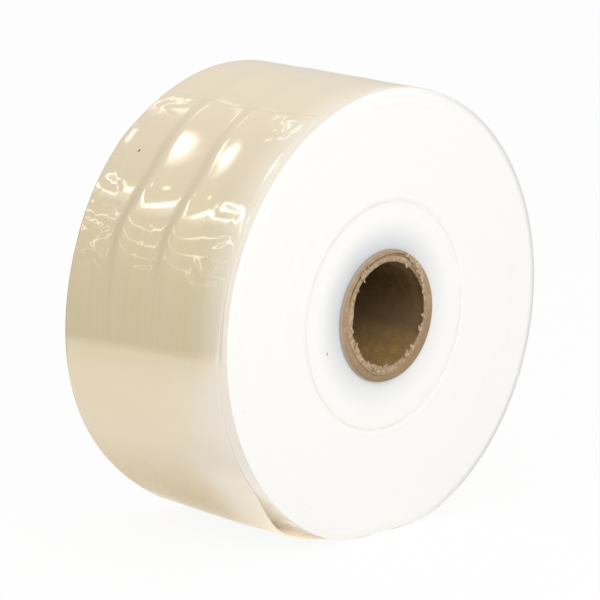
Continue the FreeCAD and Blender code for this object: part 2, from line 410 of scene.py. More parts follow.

# %% [markdown]
# The tight turns, the loose turn and the loose turn's inside have the same finish, with more or
# less light passing through. A clear coat over a base that still has some gloss gives the
# mirror-like highlights of the top layer, and real film's many layers need not be modelled. Where
# the loose turn hangs free it lets light through, and the tight turns have a faint painted glow in
# the pocket.

# %% Finish of the wound side
def make_film_side(name, thin=0.0, inside=False):
    """thin is the share of light that passes where the loose turn hangs free of the roll."""
    material, tree, shader = new_material(name)
    places = tree.group(roll_places)
    turn, along = places["Turn"], places["Along"]
    # Round the pocket single layers are seen, which are nearly colourless.
    pocket = tree.times(tree.span(turn, 118.0, 134.0), tree.span(along, 75.0, 35.0))
    single_layer = colour(236, 231, 222) if thin else colour(249, 246, 238)
    body = single_layer
    if not inside:
        body = tree.mix(pocket, side_colour(tree, turn, along), single_layer)
    if thin:
        body = pass_light(tree, shader, body, single_layer, thin)
    else:
        # Painted glow: light that enters at the cut end comes out of the tight turns again inside
        # the pocket, and is painted as a faint emission.
        glow = tree.mix(pocket, black, single_layer)
        tree.set(shader, {"Emission Color": glow, "Emission Strength": 0.05})
    fine = tree.group(turn_streaks, Turn=turn, Across=along, Streaks_per_mm=1.1, Length=40.0,
                      Seed=4.0)["Streak"]
    tree.set(shader, {"Base Color": body, "IOR": 1.5,
                      "Roughness": tree.span(fine, 0.0, 1.0, 0.10, 0.16),
                      "Coat Weight": 1.0, "Coat Roughness": 0.03, "Coat IOR": 1.75})
    return material


film_side = make_film_side("film_side")
film_loose = make_film_side("film_loose", thin=0.38)
film_inside = make_film_side("film_inside", thin=0.78, inside=True)
print("materials", film_side.name, film_loose.name, film_inside.name)

# %% [markdown]
# The cut ends of hundreds of turns together look milky white. Next to the core they are painted
# grey in a halo, and faint rings mark bands of turns that have slipped a little.

# %% Finish of the cut ends
def make_film_ends():
    material, tree, shader = new_material("film_ends")
    places = tree.group(roll_places)
    turn, radius = places["Turn"], places["Radius"]
    core_edge, outside = core_radius / mm, roll_radius / mm
    ring = tree.group(turn_streaks, Turn=turn, Across=radius, Streaks_per_mm=0.35, Length=200.0,
                      Seed=5.0)["Streak"]
    # The halo is faintest on the right, below the core.
    depth = tree.span(tree.facing(turn, 225.0), -1.0, 1.0, 0.8, 0.25, smooth=False)
    halo = tree.times(tree.span(radius, core_edge + 26.0, core_edge), depth)
    # Painted shade: a faint darker line runs round where the band by the core meets the rest of the
    # turns.
    off_line = tree.maths("ABSOLUTE", tree.less(radius, core_edge + inner_band_width / mm))
    patches = tree.group(turn_streaks, Turn=turn, Across=0.0, Length=50.0, Seed=12.0)["Streak"]
    painted_step_shade = tree.times(tree.span(off_line, 2.0, 0.2), tree.span(patches, 0.0, 1.0, 0.05, 0.6))
    # Painted shade: the last turns on the right are greyer, where the end face falls away to the
    # rim.
    rim = tree.times(tree.span(radius, outside - 6.0, outside + 1.0),
                     tree.span(tree.facing(turn, -90.0), 0.0, 0.8))
    body = tree.layers(colour(249, 248, 245),
                       (tree.times(ring, 0.25), colour(246, 244, 238)),
                       (halo, colour(202, 207, 212)),
                       (painted_step_shade, colour(226, 226, 212)),
                       (rim, colour(210, 211, 208)))
    tree.set(shader, {"Base Color": body, "Roughness": 0.55, "IOR": 1.45})
    return material


film_ends = make_film_ends()
print("material", film_ends.name)

# %% [markdown]
# The core is brown spiral-wound board. Its cut end shows the plies as fine rings, and the bore is
# darker, with painted light on its lower side, where the light falls into it. Grain and mottle are
# noise, fine and coarse.

# %% Colours of the cardboard
board_brown = colour(152, 124, 92)


def cut_board(tree, turn, radius, grain, mottle):
    ply = tree.group(turn_streaks, Turn=turn, Across=radius, Streaks_per_mm=1.6, Length=90.0,
                     Seed=9.0)["Streak"]
    return tree.layers(board_brown,
                       (ply, colour(178, 152, 118)),
                       (tree.span(grain, 0.35, 0.65), colour(168, 142, 108)),
                       (tree.span(mottle, 0.45, 0.7, 0.0, 0.6), colour(190, 162, 136)))


def bore_liner(tree, lower, grain, mottle):
    fine = tree.span(grain, 0.3, 0.7)
    dark_liner = tree.layers(colour(78, 56, 21), (fine, colour(97, 72, 29)),
                        (tree.span(mottle, 0.4, 0.65, 0.0, 0.5), colour(108, 82, 38)))
    # Painted light: the lower side of the bore is lighter, where the light falls into it.
    painted_lit_liner = tree.layers(colour(188, 145, 62), (fine, colour(222, 180, 92)),
                       (tree.span(mottle, 0.4, 0.65, 0.5, 0.0), colour(138, 104, 48)))
    return tree.mix(tree.span(lower, 0.6, 1.0), dark_liner, painted_lit_liner)


print("brown of the board, linear:", [round(x, 3) for x in board_brown[:3]])

# %% [markdown]
# One finish serves the whole core. It tells the bore, the cut end and the smooth outer ply apart by
# a point's radius and its distance behind the end, and finds torn board by the mark that the mesh
# carries: 1 on torn edges, where fresh fibres are paler, and 1.5 on the large flakes.

# %% Finish of the cardboard
def make_cardboard():
    material, tree, shader = new_material("cardboard")
    places = tree.group(roll_places)
    turn, radius = places["Turn"], places["Radius"]
    place = tree.place()
    grain = tree.noise(place, 420.0, 5.0, 0.65)
    mottle = tree.noise(place, 130.0, 4.0)
    lower = tree.facing(turn, 200.0)
    behind = tree.less(core_length / 2, tree.maths("ABSOLUTE", tree.parts(place)["Y"]))
    bore, outside = bore_radius / mm, core_radius / mm
    in_bore = tree.times(tree.span(behind, 0.2 * mm, 0.8 * mm),
                         tree.span(radius, bore + 4.4, bore + 3.8))
    outer_ply = tree.times(tree.span(behind, 1.6 * mm, 2.6 * mm),
                           tree.span(radius, outside - 0.35, outside - 0.15))
    torn = tree.add("ShaderNodeAttribute", attribute_name="torn").outputs["Fac"]
    fibres = tree.mix(tree.span(grain, 0.4, 0.6), colour(154, 129, 98), colour(196, 173, 141))
    flake = tree.mix(tree.span(grain, 0.35, 0.65), colour(152, 127, 99), colour(206, 182, 154))
    body = tree.layers(cut_board(tree, turn, radius, grain, mottle),
                       (in_bore, bore_liner(tree, lower, grain, mottle)),
                       # The core is painted darker towards its lower side.
                       (tree.span(lower, -0.2, 0.8, 0.0, 0.6), colour(142, 116, 86)),
                       (outer_ply, colour(180, 165, 149)),
                       (tree.span(torn, 0.2, 0.9), fibres),
                       (tree.span(torn, 1.0, 1.5), flake))
    bump = tree.add("ShaderNodeBump", {"Height": grain, "Strength": 0.35, "Distance": 0.4 * mm})
    tree.set(shader, {"Base Color": body, "Roughness": 0.85, "Normal": bump.outputs["Normal"]})
    return material


cardboard = make_cardboard()
print("material", cardboard.name)

# %% [markdown]
# Every piece ends as a plain mesh object. Its faces are turned outwards, and its faces and its box
# are printed, so that a change in its shape shows at once.

# %% Helpers for meshes
def plain_object(name, mesh):
    made = bpy.data.objects.new(name, mesh)
    bpy.context.scene.collection.objects.link(made)
    return made


def outward(made, smooth=True):
    """Turns the faces of a closed mesh outwards, and shades them smooth or flat."""
    work = bmesh.new()
    work.from_mesh(made.data)
    bmesh.ops.recalc_face_normals(work, faces=work.faces)
    if work.calc_volume(signed=True) < 0:
        bmesh.ops.reverse_faces(work, faces=work.faces)
    for face in work.faces:
        face.smooth = smooth
    work.to_mesh(made.data)
    work.free()
    return made


def describe(made):
    low, high = made.bound_box[0], made.bound_box[6]
    print(made.name, "has", len(made.data.polygons), "faces and a box in mm", in_mm(*low, *high))


# %% [markdown]
# Both geometry trees of this script take a mesh, some numbers and a material, and end in Realize
# Instances and Set Material. Running one means putting it on an object as a modifier, setting the
# inputs by their identifiers, and keeping the evaluated result as a plain mesh.

# %% Helpers for geometry trees
def new_geometry_tree(name, numbers):
    """A geometry tree with a mesh, numbers {name: value} and a material as its inputs."""
    group = bpy.data.node_groups.new(name, "GeometryNodeTree")
    face = group.interface
    face.new_socket("Geometry", in_out="INPUT", socket_type="NodeSocketGeometry")
    for label, value in numbers.items():
        kind = "NodeSocketInt" if isinstance(value, int) else "NodeSocketFloat"
        face.new_socket(label, in_out="INPUT", socket_type=kind).default_value = value
    face.new_socket("Material", in_out="INPUT", socket_type="NodeSocketMaterial")
    face.new_socket("Geometry", in_out="OUTPUT", socket_type="NodeSocketGeometry")
    tree = Tree(group)
    return tree, tree.add("NodeGroupInput").outputs


def end_geometry_tree(tree, geometry, material):
    whole = tree.add("GeometryNodeRealizeInstances", {"Geometry": geometry}).outputs[0]
    dressed = tree.add("GeometryNodeSetMaterial", {"Geometry": whole, "Material": material})
    tree.add("NodeGroupOutput", {0: dressed.outputs[0]})
    return tree.tree


def run_tree(source, group, name, **values):
    """Runs a geometry tree on an object, and returns the mesh that it makes as a new object."""
    modifier = source.modifiers.new("tree", "NODES")
    modifier.node_group = group
    sockets = {s.name: s.identifier for s in group.interface.items_tree if s.in_out == "INPUT"}
    for label, value in values.items():
        modifier[sockets[label.replace("_", " ")]] = value
    bpy.context.view_layer.update()
    evaluated = source.evaluated_get(bpy.context.evaluated_depsgraph_get())
    mesh = bpy.data.meshes.new_from_object(evaluated)
    mesh.name = name
    # The new mesh keeps one slot, for the material that the tree has set.
    used = [m for m in mesh.materials if m]
    mesh.materials.clear()
    mesh.materials.append(used[0])
    mesh.polygons.foreach_set("material_index", np.zeros(len(mesh.polygons), int))
    source.modifiers.remove(modifier)
    bpy.data.objects.remove(source)
    return plain_object(name, mesh)


print("node groups so far:", [group.name for group in bpy.data.node_groups])

# %% [markdown]
# A roll is a section swept round an axis, so the tight turns and the core share one geometry tree.
# Each starts as a mesh that is only the section: a closed row of points with y along the roll and
# z as the radius. A curve with a profile could sweep it too, but a grid lets each point read its
# own section point and its own mark. The grid has a column for each section point and a row for
# each step round the axis.

# %% Lay the section on a grid
full_turn = 2 * math.pi


def lay_section(tree, given):
    """The grid, and for its points the angle, the place along, the radius and the torn mark."""
    size = tree.add("GeometryNodeAttributeDomainSize", {"Geometry": given["Geometry"]},
                    component="MESH")
    points = size.outputs["Point Count"]
    rows = tree.maths("ADD", given["Steps"], 1.0)
    # One more column closes the section.
    inputs = {"Size X": 1.0, "Size Y": 1.0, "Vertices X": tree.maths("ADD", points, 1.0),
              "Vertices Y": rows}
    grid = tree.add("GeometryNodeMeshGrid", inputs).outputs["Mesh"]
    index = tree.add("GeometryNodeInputIndex").outputs[0]
    column = tree.maths("FLOOR", tree.maths("DIVIDE", tree.maths("ADD", index, 0.5), rows))
    row = tree.less(index, tree.times(column, rows))
    column = tree.maths("MODULO", column, points)
    angle = tree.maths("DIVIDE", tree.times(row, full_turn), given["Steps"])

    def read(value, data_type):
        inputs = {"Geometry": given["Geometry"], "Value": value, "Index": column}
        return tree.add("GeometryNodeSampleIndex", inputs, data_type=data_type,
                        domain="POINT").outputs[0]

    section = tree.parts(read(tree.add("GeometryNodeInputPosition").outputs[0], "FLOAT_VECTOR"))
    mark = tree.add("GeometryNodeInputNamedAttribute", {"Name": "torn"}, data_type="FLOAT")
    torn = read(mark.outputs[0], "FLOAT")
    return grid, tree.maths("MODULO", angle, full_turn), section["Y"], section["Z"], torn


print("a full turn is", round(full_turn, 4), "radians")

# %% [markdown]
# Two rules bend the plain ring. Points that are marked as torn wander at random, and the outer
# turns settle on a flat at the bottom, as soft film does under its own weight.

# %% Rules that bend the ring
wander_scale = 9.0              # features of the torn edge in one radian, roughly
wander_across = 60.0            # stretches the noise across the board, so that it is finer there
settle_power = 5.0              # how fast settling dies out towards the core
settle_blend = 0.06             # the share of the radius over which the flat blends in


def wander(tree, angle, along, radius, torn, seed):
    """Torn points move along the roll and inwards, by noise that meets itself round the ring."""
    circle = tree.vector(tree.maths("SINE", angle), tree.times(radius, wander_across),
                         tree.maths("COSINE", angle))
    inputs = {"Vector": circle, "W": seed, "Scale": wander_scale, "Detail": 6.0,
              "Roughness": 0.75}
    noise = tree.add("ShaderNodeTexNoise", inputs, noise_dimensions="4D").outputs["Color"]
    noise = tree.parts(noise)
    return [tree.maths("ADD", start, tree.times(torn, tree.less(noise[axis], 0.5)))
            for start, axis in ((along, "Y"), (radius, "X"))]


def settle(tree, angle, radius, given):
    """A soft limit on how far down the outer turns reach, less towards the core."""
    outside = given["Outside Radius"]
    share = tree.maths("POWER", tree.maths("DIVIDE", radius, outside), settle_power)
    down = tree.times(tree.maths("COSINE", angle), -1.0)
    # The limit on the divisor only counts where the ring is not underneath.
    deep = tree.times(tree.maths("MAXIMUM", down, 0.05), outside)
    free = tree.maths("DIVIDE", given["Rest Height"], deep)
    held = tree.maths("SMOOTH_MIN", free, 1.0, settle_blend)
    return tree.times(radius, tree.less(1.0, tree.times(share, tree.less(1.0, held))))


print("half way out, settling has", 100 * 0.5**settle_power, "% of its full strength")

# %% [markdown]
# The tree itself lays the section on the grid, bends it, turns it round the axis and joins the
# seams. The torn mark is stored again, because the cardboard's finish reads it.

# %% Geometry tree that sweeps a section round the roll
def sweep_tree():
    tree, given = new_geometry_tree("sweep_round", {
        "Steps": 300, "Rest Height": 1.0, "Outside Radius": 1.0, "Tear": 0.0, "Seed": 0.0})
    grid, angle, along, radius, torn = lay_section(tree, given)
    moves = tree.times(torn, given["Tear"])
    along, radius = wander(tree, angle, along, radius, moves, given["Seed"])
    radius = settle(tree, angle, radius, given)
    place = tree.vector(tree.times(tree.maths("SINE", angle), radius, -1.0), along,
                        tree.times(tree.maths("COSINE", angle), radius))
    swept = tree.add("GeometryNodeSetPosition", {"Geometry": grid, "Position": place}).outputs[0]
    inputs = {"Geometry": swept, "Name": "torn", "Value": torn}
    marked = tree.add("GeometryNodeStoreNamedAttribute", inputs, data_type="FLOAT", domain="POINT")
    inputs = {"Geometry": marked.outputs[0], "Distance": 1e-6}
    joined = tree.add("GeometryNodeMergeByDistance", inputs).outputs[0]
    return end_geometry_tree(tree, joined, given["Material"])


def section_object(name, points, torn=None):
    """A closed row of section points: y along the roll and z as the radius."""
    mesh = bpy.data.meshes.new(name)
    count = len(points)
    edges = [(k, (k + 1) % count) for k in range(count)]
    mesh.from_pydata([(0, y, r) for y, r in points], edges, [])
    mark = mesh.attributes.new("torn", "FLOAT", "POINT")
    mark.data.foreach_set("value", np.zeros(count) if torn is None else np.asarray(torn, float))
    return plain_object(name, mesh)


sweep_round = sweep_tree()
print("geometry tree", sweep_round.name, "with", len(sweep_round.nodes), "nodes")

# %% [markdown]
# The tight turns are one body with hundreds of rings on both cut ends. No turn lies exactly flush
# with the next, so each ring slips by a few hundredths of a millimetre, the band next to the core
# has slipped inwards by about a millimetre, and the last turns fall away to the rim. The section
# holds these slips, and the tree sweeps it round.

# %% Tight turns
inner_band_slip = 1.1 * mm
band_step_width = 2.8 * mm
rim_fall_width = 5.0 * mm
rim_fall = 0.5 * mm
ring_spacing = 1.25 * mm
ring_slip = 0.05 * mm
turn_steps = 300
side_points = 12                # section points along the outside and along the core


def slip(radius):
    """How far the turns at a radius have slipped along the core, towards the far end."""
    inner_edge = core_radius + inner_band_width
    inner = inner_band_slip * (1 - ramp(radius, inner_edge, inner_edge + band_step_width))
    rim = np.maximum((radius - roll_radius + rim_fall_width) / rim_fall_width, 0)
    return inner + rim_fall * rim


def tight_turns():
    rng = np.random.default_rng(11)
    radii = np.append(np.arange(core_radius, roll_radius, ring_spacing), roll_radius)
    slips = slip(radii) + rng.normal(0, ring_slip, len(radii))
    near = [(near_face + s, r) for r, s in zip(radii, slips)]
    far = [(-near_face + s, r) for r, s in zip(radii, slips)][::-1]
    outside = [(y, roll_radius) for y in np.linspace(near[-1][0], far[0][0], side_points)[1:-1]]
    inside = [(y, core_radius) for y in np.linspace(far[-1][0], near[0][0], side_points)[1:-1]]
    section = section_object("turn_section", near + outside + far + inside)
    made = run_tree(section, sweep_round, "tight_turns", Steps=turn_steps, Rest_Height=rest_height,
                    Outside_Radius=roll_radius, Material=film_ends)
    outward(made)
    # The outside of the turns has the finish of the wound side.
    made.data.materials.append(film_side)
    for face in made.data.polygons:
        if abs(face.normal.y) < 0.5:
            face.material_index = 1
    return made


tight = tight_turns()
describe(tight)

# %% [markdown]
# A sheet of film is a thin closed mesh: an outer grid, an inner grid and the four cut edges between
# them. It is made in mesh code, because each of its rows and columns follows a rule of its own.

# %% Helper for sheets of film
edge_straightens = 25.0         # degrees behind the cut end in which the rows straighten


def film_sheet(name, turns, places, outer, inner, drift, finishes, first_edge=None):
    """A closed thin sheet. turns and places are rows of turn angles and places across, 0 to 1.
    finishes are the materials of the outside and, if there is another, of the inside."""
    across = np.broadcast_to(places, (len(turns), len(places)))
    turn = np.repeat(np.asarray(turns, float)[:, None], len(places), 1)
    if first_edge is not None:
        # The first rows bend to follow the cut end.
        shift = first_edge(across) - turns[0]
        turn = turn + shift * (1 - ramp(turn, turns[0], turns[0] + edge_straightens))
    y = near_face + drift(turn, across) + across * film_width
    points = [at(turn, rule(turn, across), y).reshape(-1, 3) for rule in (outer, inner)]
    rows, columns = turn.shape
    count = rows * columns
    index = np.arange(count).reshape(rows, columns)
    corners = [index[:-1, :-1], index[:-1, 1:], index[1:, 1:], index[1:, :-1]]
    quads = np.stack(corners, -1).reshape(-1, 4)
    rim = np.concatenate([index[0, :-1], index[:-1, -1], index[-1, :0:-1], index[:0:-1, 0]])
    after = np.roll(rim, -1)
    edges = np.stack([after, rim, rim + count, after + count], -1)
    faces = np.concatenate([quads, quads[:, ::-1] + count, edges])
    mesh = bpy.data.meshes.new(name)
    mesh.from_pydata(np.concatenate(points).tolist(), [], faces.tolist())
    made = outward(plain_object(name, mesh))
    for finish in finishes:
        mesh.materials.append(finish)
    inside = np.zeros(len(faces), int)
    inside[len(quads):] = len(finishes) - 1
    mesh.polygons.foreach_set("material_index", inside)
    return made


print("rows straighten within", edge_straightens, "degrees of a cut end")

# %% [markdown]
# Two ridges run round the roll where the film was wound with a little slack. They are tall in the
# loose turn and only just show in the tight turn below it. Each has a long hollow flank towards the
# near end, a crest that wanders, and a short steep flank, and both flanks shape the reflections.

# %% Ridges round the roll
ridge_slope = {"near": 0.150, "far": 0.118}
ridge_foot = {"near": 34.2 * mm, "far": 65.2 * mm}
ridge_crest = {"near": 58.2 * mm, "far": 103.7 * mm}
ridge_fall = {"near": 12.0 * mm, "far": 13.0 * mm}
crest_share = 0.14              # share of the near flank over which the crest rounds off
crest_bend = -3.5 * mm          # how far the crests bend to the near side, half way down
bend_turn, bend_spread = 48.0, 7.0
crest_step = 4.5 * mm           # and how far they step to the far side, further down
step_starts, step_ends = 57.0, 66.0


def bump(x):
    return np.exp(-x * x)


def ridge(place, turn, side, softer=1.0):
    """One ridge's height: its slope grows evenly from foot to crest, and then it falls off fast."""
    foot = ridge_foot[side]
    crest = ridge_crest[side] + crest_bend * bump((turn - bend_turn) / bend_spread)
    crest = crest + crest_step * ramp(turn, step_starts, step_ends)
    share = np.linspace(0, 1, 201)
    slope = np.interp(share, [0, 1 - crest_share, 1], [0, 1, 0])
    climb = np.append(0, np.cumsum((slope[1:] + slope[:-1]) / 2) / 200)
    size = ridge_slope[side] * (crest - foot)
    near = size * np.interp((place - foot) / (crest - foot), share, climb)
    far = size * climb[-1] * (1 - ramp(place, crest, crest + softer * ridge_fall[side]))
    return np.where(place <= crest, near, far)


print("ridge crests from the near edge, mm", in_mm(*ridge_crest.values()))

# %% [markdown]
# The last tight turn comes from under the roll, up the back and over the top, and goes on down
# under the cut end of the loose turn. It has crept a little towards the far end, so its near edge
# shows as a fine line.

# %% Last tight turn
upper_drift = 4.4 * mm
pinch_drift = 0.6 * mm
upper_drift_starts, upper_drift_full = -62.0, 5.0
upper_returns, upper_back = 60.0, 140.0
upper_turns = np.linspace(-176.0, 170.0, 260)
upper_places = np.linspace(0, 1, 91)
tail_angle = 24.6
build_grows = 200.0             # degrees before the tail over which the last turn's build grows
upper_build = 0.35 * mm
least_build = 0.05              # share of upper_build where the turn is pressed down
pressed_down = (tail_angle - 4, tail_angle + 8)
upper_thickness = 0.4 * mm
upper_ridge_share = 0.26        # how much of the ridges shows through
upper_ridge_softness = 1.6
upper_ridge_grows = (-50, 10)


def upper_turn():
    def drift(turn, across):
        come = ramp(turn, upper_drift_starts, upper_drift_full)
        gone = ramp(turn, upper_returns, upper_back)
        return pinch_drift + (upper_drift - pinch_drift) * come * (1 - gone)

    def outer(turn, across):
        build = turn_build * np.clip((tail_angle - turn) / build_grows, 0, 1)
        lifted = ramp(turn, upper_drift_starts, upper_drift_starts / 2)
        free = 1 - ramp(turn, *pressed_down)
        lift = upper_build * (least_build + (lifted - least_build) * free)
        waves = sum(ridge(across * film_width, tail_angle, side, upper_ridge_softness)
                    for side in ridge_crest)
        waves = upper_ridge_share * waves * ramp(turn, *upper_ridge_grows) * free
        return wound_radius(turn) + build + lift + waves

    def inner(turn, across):
        return wound_radius(turn) - upper_thickness

    return film_sheet("upper_turn", upper_turns, upper_places, outer, inner, drift, [film_side])


upper = upper_turn()
describe(upper)

# %% [markdown]
# The loose outer turn starts at the cut end of the tail, near the top, and goes down the viewer's
# side. It has slid towards the far end. Below the side's middle it hangs away from the roll in an
# open pocket, and is then pinched under the roll's weight. Its drift and its slack are smooth rules
# of the turn angle. Cloth simulation is not needed, because the roll itself holds the sheet.

# %% Drift and slack of the loose turn
tail_bow = 2.4                  # degrees by which the cut end runs back at its two corners
tail_drift = 6.8 * mm
slack_drift = 12.0 * mm
drift_starts = 70.0
near_drift_peaks = 132.0
far_drift_peaks = 117.0
drift_ends = 174.0
slack_starts = 130.0
slack_peaks = 146.0
slack_ends = 172.0
slack_height = 8.9 * mm
slack_far_share = 0.15
slack_far_lag = 14.0
closing_power = 2.6             # how fast the pocket closes again below its peak
tail_pucker = 2.2 * mm          # how much the puckered cut end draws its far edge in
pucker_ends = 48.0


def tail_edge(across):
    return tail_angle - tail_bow * (2 * across - 1) ** 2


def edge_drift(turn, peak):
    grown = tail_drift + (slack_drift - tail_drift) * ramp(turn, drift_starts, peak)
    back = ramp(turn, peak, drift_ends)
    return grown * (1 - back) + pinch_drift * back


def loose_drift(turn, across):
    pucker = tail_pucker * (1 - ramp(turn, tail_angle, pucker_ends))
    near = edge_drift(turn, near_drift_peaks)
    far = edge_drift(turn, far_drift_peaks) - pucker
    return near + (far - near) * across


def slack(turn, across):
    """How far the loose turn hangs away from the roll."""
    lag = slack_far_lag * across
    opening = ramp(turn, slack_starts + lag, slack_peaks + lag)
    closing = (1 - ramp(turn, slack_peaks + lag, slack_ends)) ** closing_power
    return slack_height * opening * closing * (1 - (1 - slack_far_share) * across)


print("widest drift and slack at the near edge, mm",
      in_mm(loose_drift(near_drift_peaks, 0), slack(slack_peaks, 0)))

# %% [markdown]
# Handled film has creases: short hollows and crests that cross the ridges, most of them near the
# two edges. They shape the highlights, so the ones that catch the eye are placed one by one. The
# faint ones between them are strewn with a fixed seed.

# %% Creases in the loose turn
# Each crease: turn angle, place from the near edge in mm, direction in degrees (0 runs across the
# film and 90 round the roll), half length, half width and height in mm. A hollow is negative.
creases = [
    (25.8, 14, 8, 11, 3.2, 0.22),
    (28.6, 24, -38, 9, 3.4, -0.30),
    (30.5, 13, 62, 8, 2.6, -0.16),
    (32.6, 21, 30, 10, 3.0, -0.24),
    (33.6, 9, 75, 6, 2.2, 0.10),
    (56.0, 20, 3, 13, 5.2, -0.36),
    (55.2, 31, 78, 6, 2.4, 0.14),
    (57.0, 11, 84, 6, 2.4, 0.16),
    (64.6, 20, 28, 12, 2.8, -0.20),
    (66.8, 11, 72, 7, 2.4, -0.16),
    (68.6, 16, -12, 10, 2.6, 0.16),
    (70.6, 10, 40, 8, 2.4, -0.16),
    (71.8, 28, -34, 10, 3.0, 0.20),
    (27.4, 132, 12, 12, 3.8, -0.30),
    (30.4, 137, -30, 11, 3.2, -0.26),
    (33.4, 130, 48, 9, 2.8, -0.18),
    (49.0, 138, 84, 8, 2.4, 0.16),
    (52.2, 132, 70, 8, 2.6, -0.18),
    (54.6, 138, -16, 11, 4.4, -0.34),
    (57.6, 145, 58, 8, 2.8, 0.20),
    (60.8, 134, 10, 10, 2.8, -0.16),
    (63.4, 129, 64, 8, 2.4, -0.18),
    (65.6, 142, -8, 10, 2.4, 0.16),
    (68.4, 134, 38, 12, 2.8, -0.22),
    (70.2, 146, 74, 6, 2.2, -0.18),
    (72.6, 130, -22, 10, 3.2, 0.24),
    (40.5, 150, 90, 10, 5.0, 0.60),
    (73.8, 18, 14, 9, 2.4, -0.18),
    (75.4, 34, -36, 8, 2.2, 0.16),
    (74.6, 138, 20, 9, 2.4, -0.18),
    (75.8, 128, -40, 8, 2.2, 0.16),
    (73.0, 84, 6, 12, 2.6, -0.16),
    (74.8, 66, 60, 6, 2.0, 0.14),
]
crease_fades = (0.6, 1.3)       # from where to where a crease fades, as shares of its half length
small_creases = 44
# Where the film has crumpled: first and last turn angle, near and far place in mm.
crumpled = ((25, 34, 6, 32), (25, 34, 122, 146), (50, 74, 4, 32), (48, 75, 122, 149),
            (62, 72, 66, 100))


def faint_creases():
    rng = np.random.default_rng(23)
    rows = []
    for k in range(small_creases):
        first, last, near, far = crumpled[k % len(crumpled)]
        rows.append((rng.uniform(first, last), rng.uniform(near, far), rng.uniform(-90, 90),
                     rng.uniform(3, 8), rng.uniform(1.8, 2.8), rng.uniform(-0.09, 0.09)))
    return rows


all_creases = creases + faint_creases()
print(len(creases), "creases placed,", len(all_creases) - len(creases), "strewn")

# %% [markdown]
# The loose turn's height over the turn below is the sum of the slack, the ridges and the creases.
# The ridges are lower at the cut end and fade out down the side. Underneath, the sheet comes to lie
# flat on the ground with a small bend, and that is where it is pinched.

# %% Shape of the loose turn
ridge_tail_share = 0.6          # the ridges' height at the cut end
ridge_grows = (22, 36)
ridge_fades = (60, 84)
film_thickness = 0.4 * mm
landing_bend = 0.5 * mm
pinch_share = 0.15
edge_press = 0.32 * mm
edge_press_width = 3.0 * mm
edge_lifts = (slack_starts - 10, slack_starts + 4)


def wrinkles(turn, across):
    """The ridges that run round the loose turn and the creases near its edges, as a height."""
    place = across * film_width
    grows = ridge_tail_share + (1 - ridge_tail_share) * ramp(turn, *ridge_grows)
    fades = 1 - ramp(turn, *ridge_fades)
    height = (ridge(place, turn, "near") + ridge(place, turn, "far")) * grows * fades
    mm_per_degree = math.radians(roll_radius / mm)
    for crease_turn, crease_place, way, half_length, half_width, crease_height in all_creases:
        a = math.radians(way)
        u = place / mm - crease_place
        v = (turn - crease_turn) * mm_per_degree
        along = u * math.cos(a) + v * math.sin(a)
        off = v * math.cos(a) - u * math.sin(a)
        span = 1 - ramp(np.abs(along), *(share * half_length for share in crease_fades))
        height = height + crease_height * mm * bump(off / half_width) * span
    return height


def loose_outer(turn, across):
    pinched = pinch_share * turn_build * ramp(turn, slack_peaks, pinch_angle)
    # The near edge lies down on the turn below, down to where the slack starts.
    near_edge = 1 - ramp(across * film_width, 0, edge_press_width)
    pinched = pinched + edge_press * near_edge * (1 - ramp(turn, *edge_lifts))
    hanging = wound_radius(turn) + turn_build - pinched
    hanging = hanging + slack(turn, across) + wrinkles(turn, across)
    # The limit on the divisor keeps the points that are not underneath out of the sum.
    down = np.maximum(-np.cos(np.radians(turn)), 0.1)
    lying = (rest_height + turn_build) / down - pinched
    overlap = np.maximum(landing_bend - np.abs(hanging - lying), 0)
    landed = np.minimum(hanging, lying) - overlap**2 / (4 * landing_bend)
    return np.where(turn < slack_peaks, hanging, landed)


def loose_inner(turn, across):
    return loose_outer(turn, across) - film_thickness


print("ridges and creases at the middle of the cut end, mm", in_mm(wrinkles(tail_angle, 0.5)))

# %% [markdown]
# The sheet's rows and columns lie close together where the creases are and further apart on the
# smooth part, which keeps the mesh fine enough for the highlights and still light.

# %% Loose outer turn
past_pinch = 1.0
# Rows: from one turn angle to another, and the step between rows, in degrees.
row_steps = ((tail_angle, 36.0, 0.3), (36.0, 46.0, 0.5), (46.0, 77.0, 0.3),
             (77.0, pinch_angle, 1.1))
column_count = 160
column_places = (0, 0.34, 0.4, 0.62, 0.68, 1)
column_spacing = (0.8, 0.8, 1.25, 1.25, 0.8, 0.8)


def loose_turn():
    turns = np.concatenate([np.arange(*step) for step in row_steps])
    turns = np.append(turns, pinch_angle + past_pinch)
    spacing = np.interp(np.linspace(0, 1, column_count), column_places, column_spacing)
    places = np.append(0, np.cumsum(spacing)) / spacing.sum()
    return film_sheet("loose_turn", turns, places, loose_outer, loose_inner, loose_drift,
                      [film_loose, film_inside], tail_edge)


loose = loose_turn()
describe(loose)

# %% [markdown]
# The core is a tube of board with square ends. When the tube was cut, its inner plies tore: they
# have come away from the outer ones along a narrow split, and their edge is ragged. The tear
# differs from side to side, so it is written as values round the mouth.

# %% Values round the torn mouth
torn_width = 2.4 * mm
torn_depth = 1.6 * mm
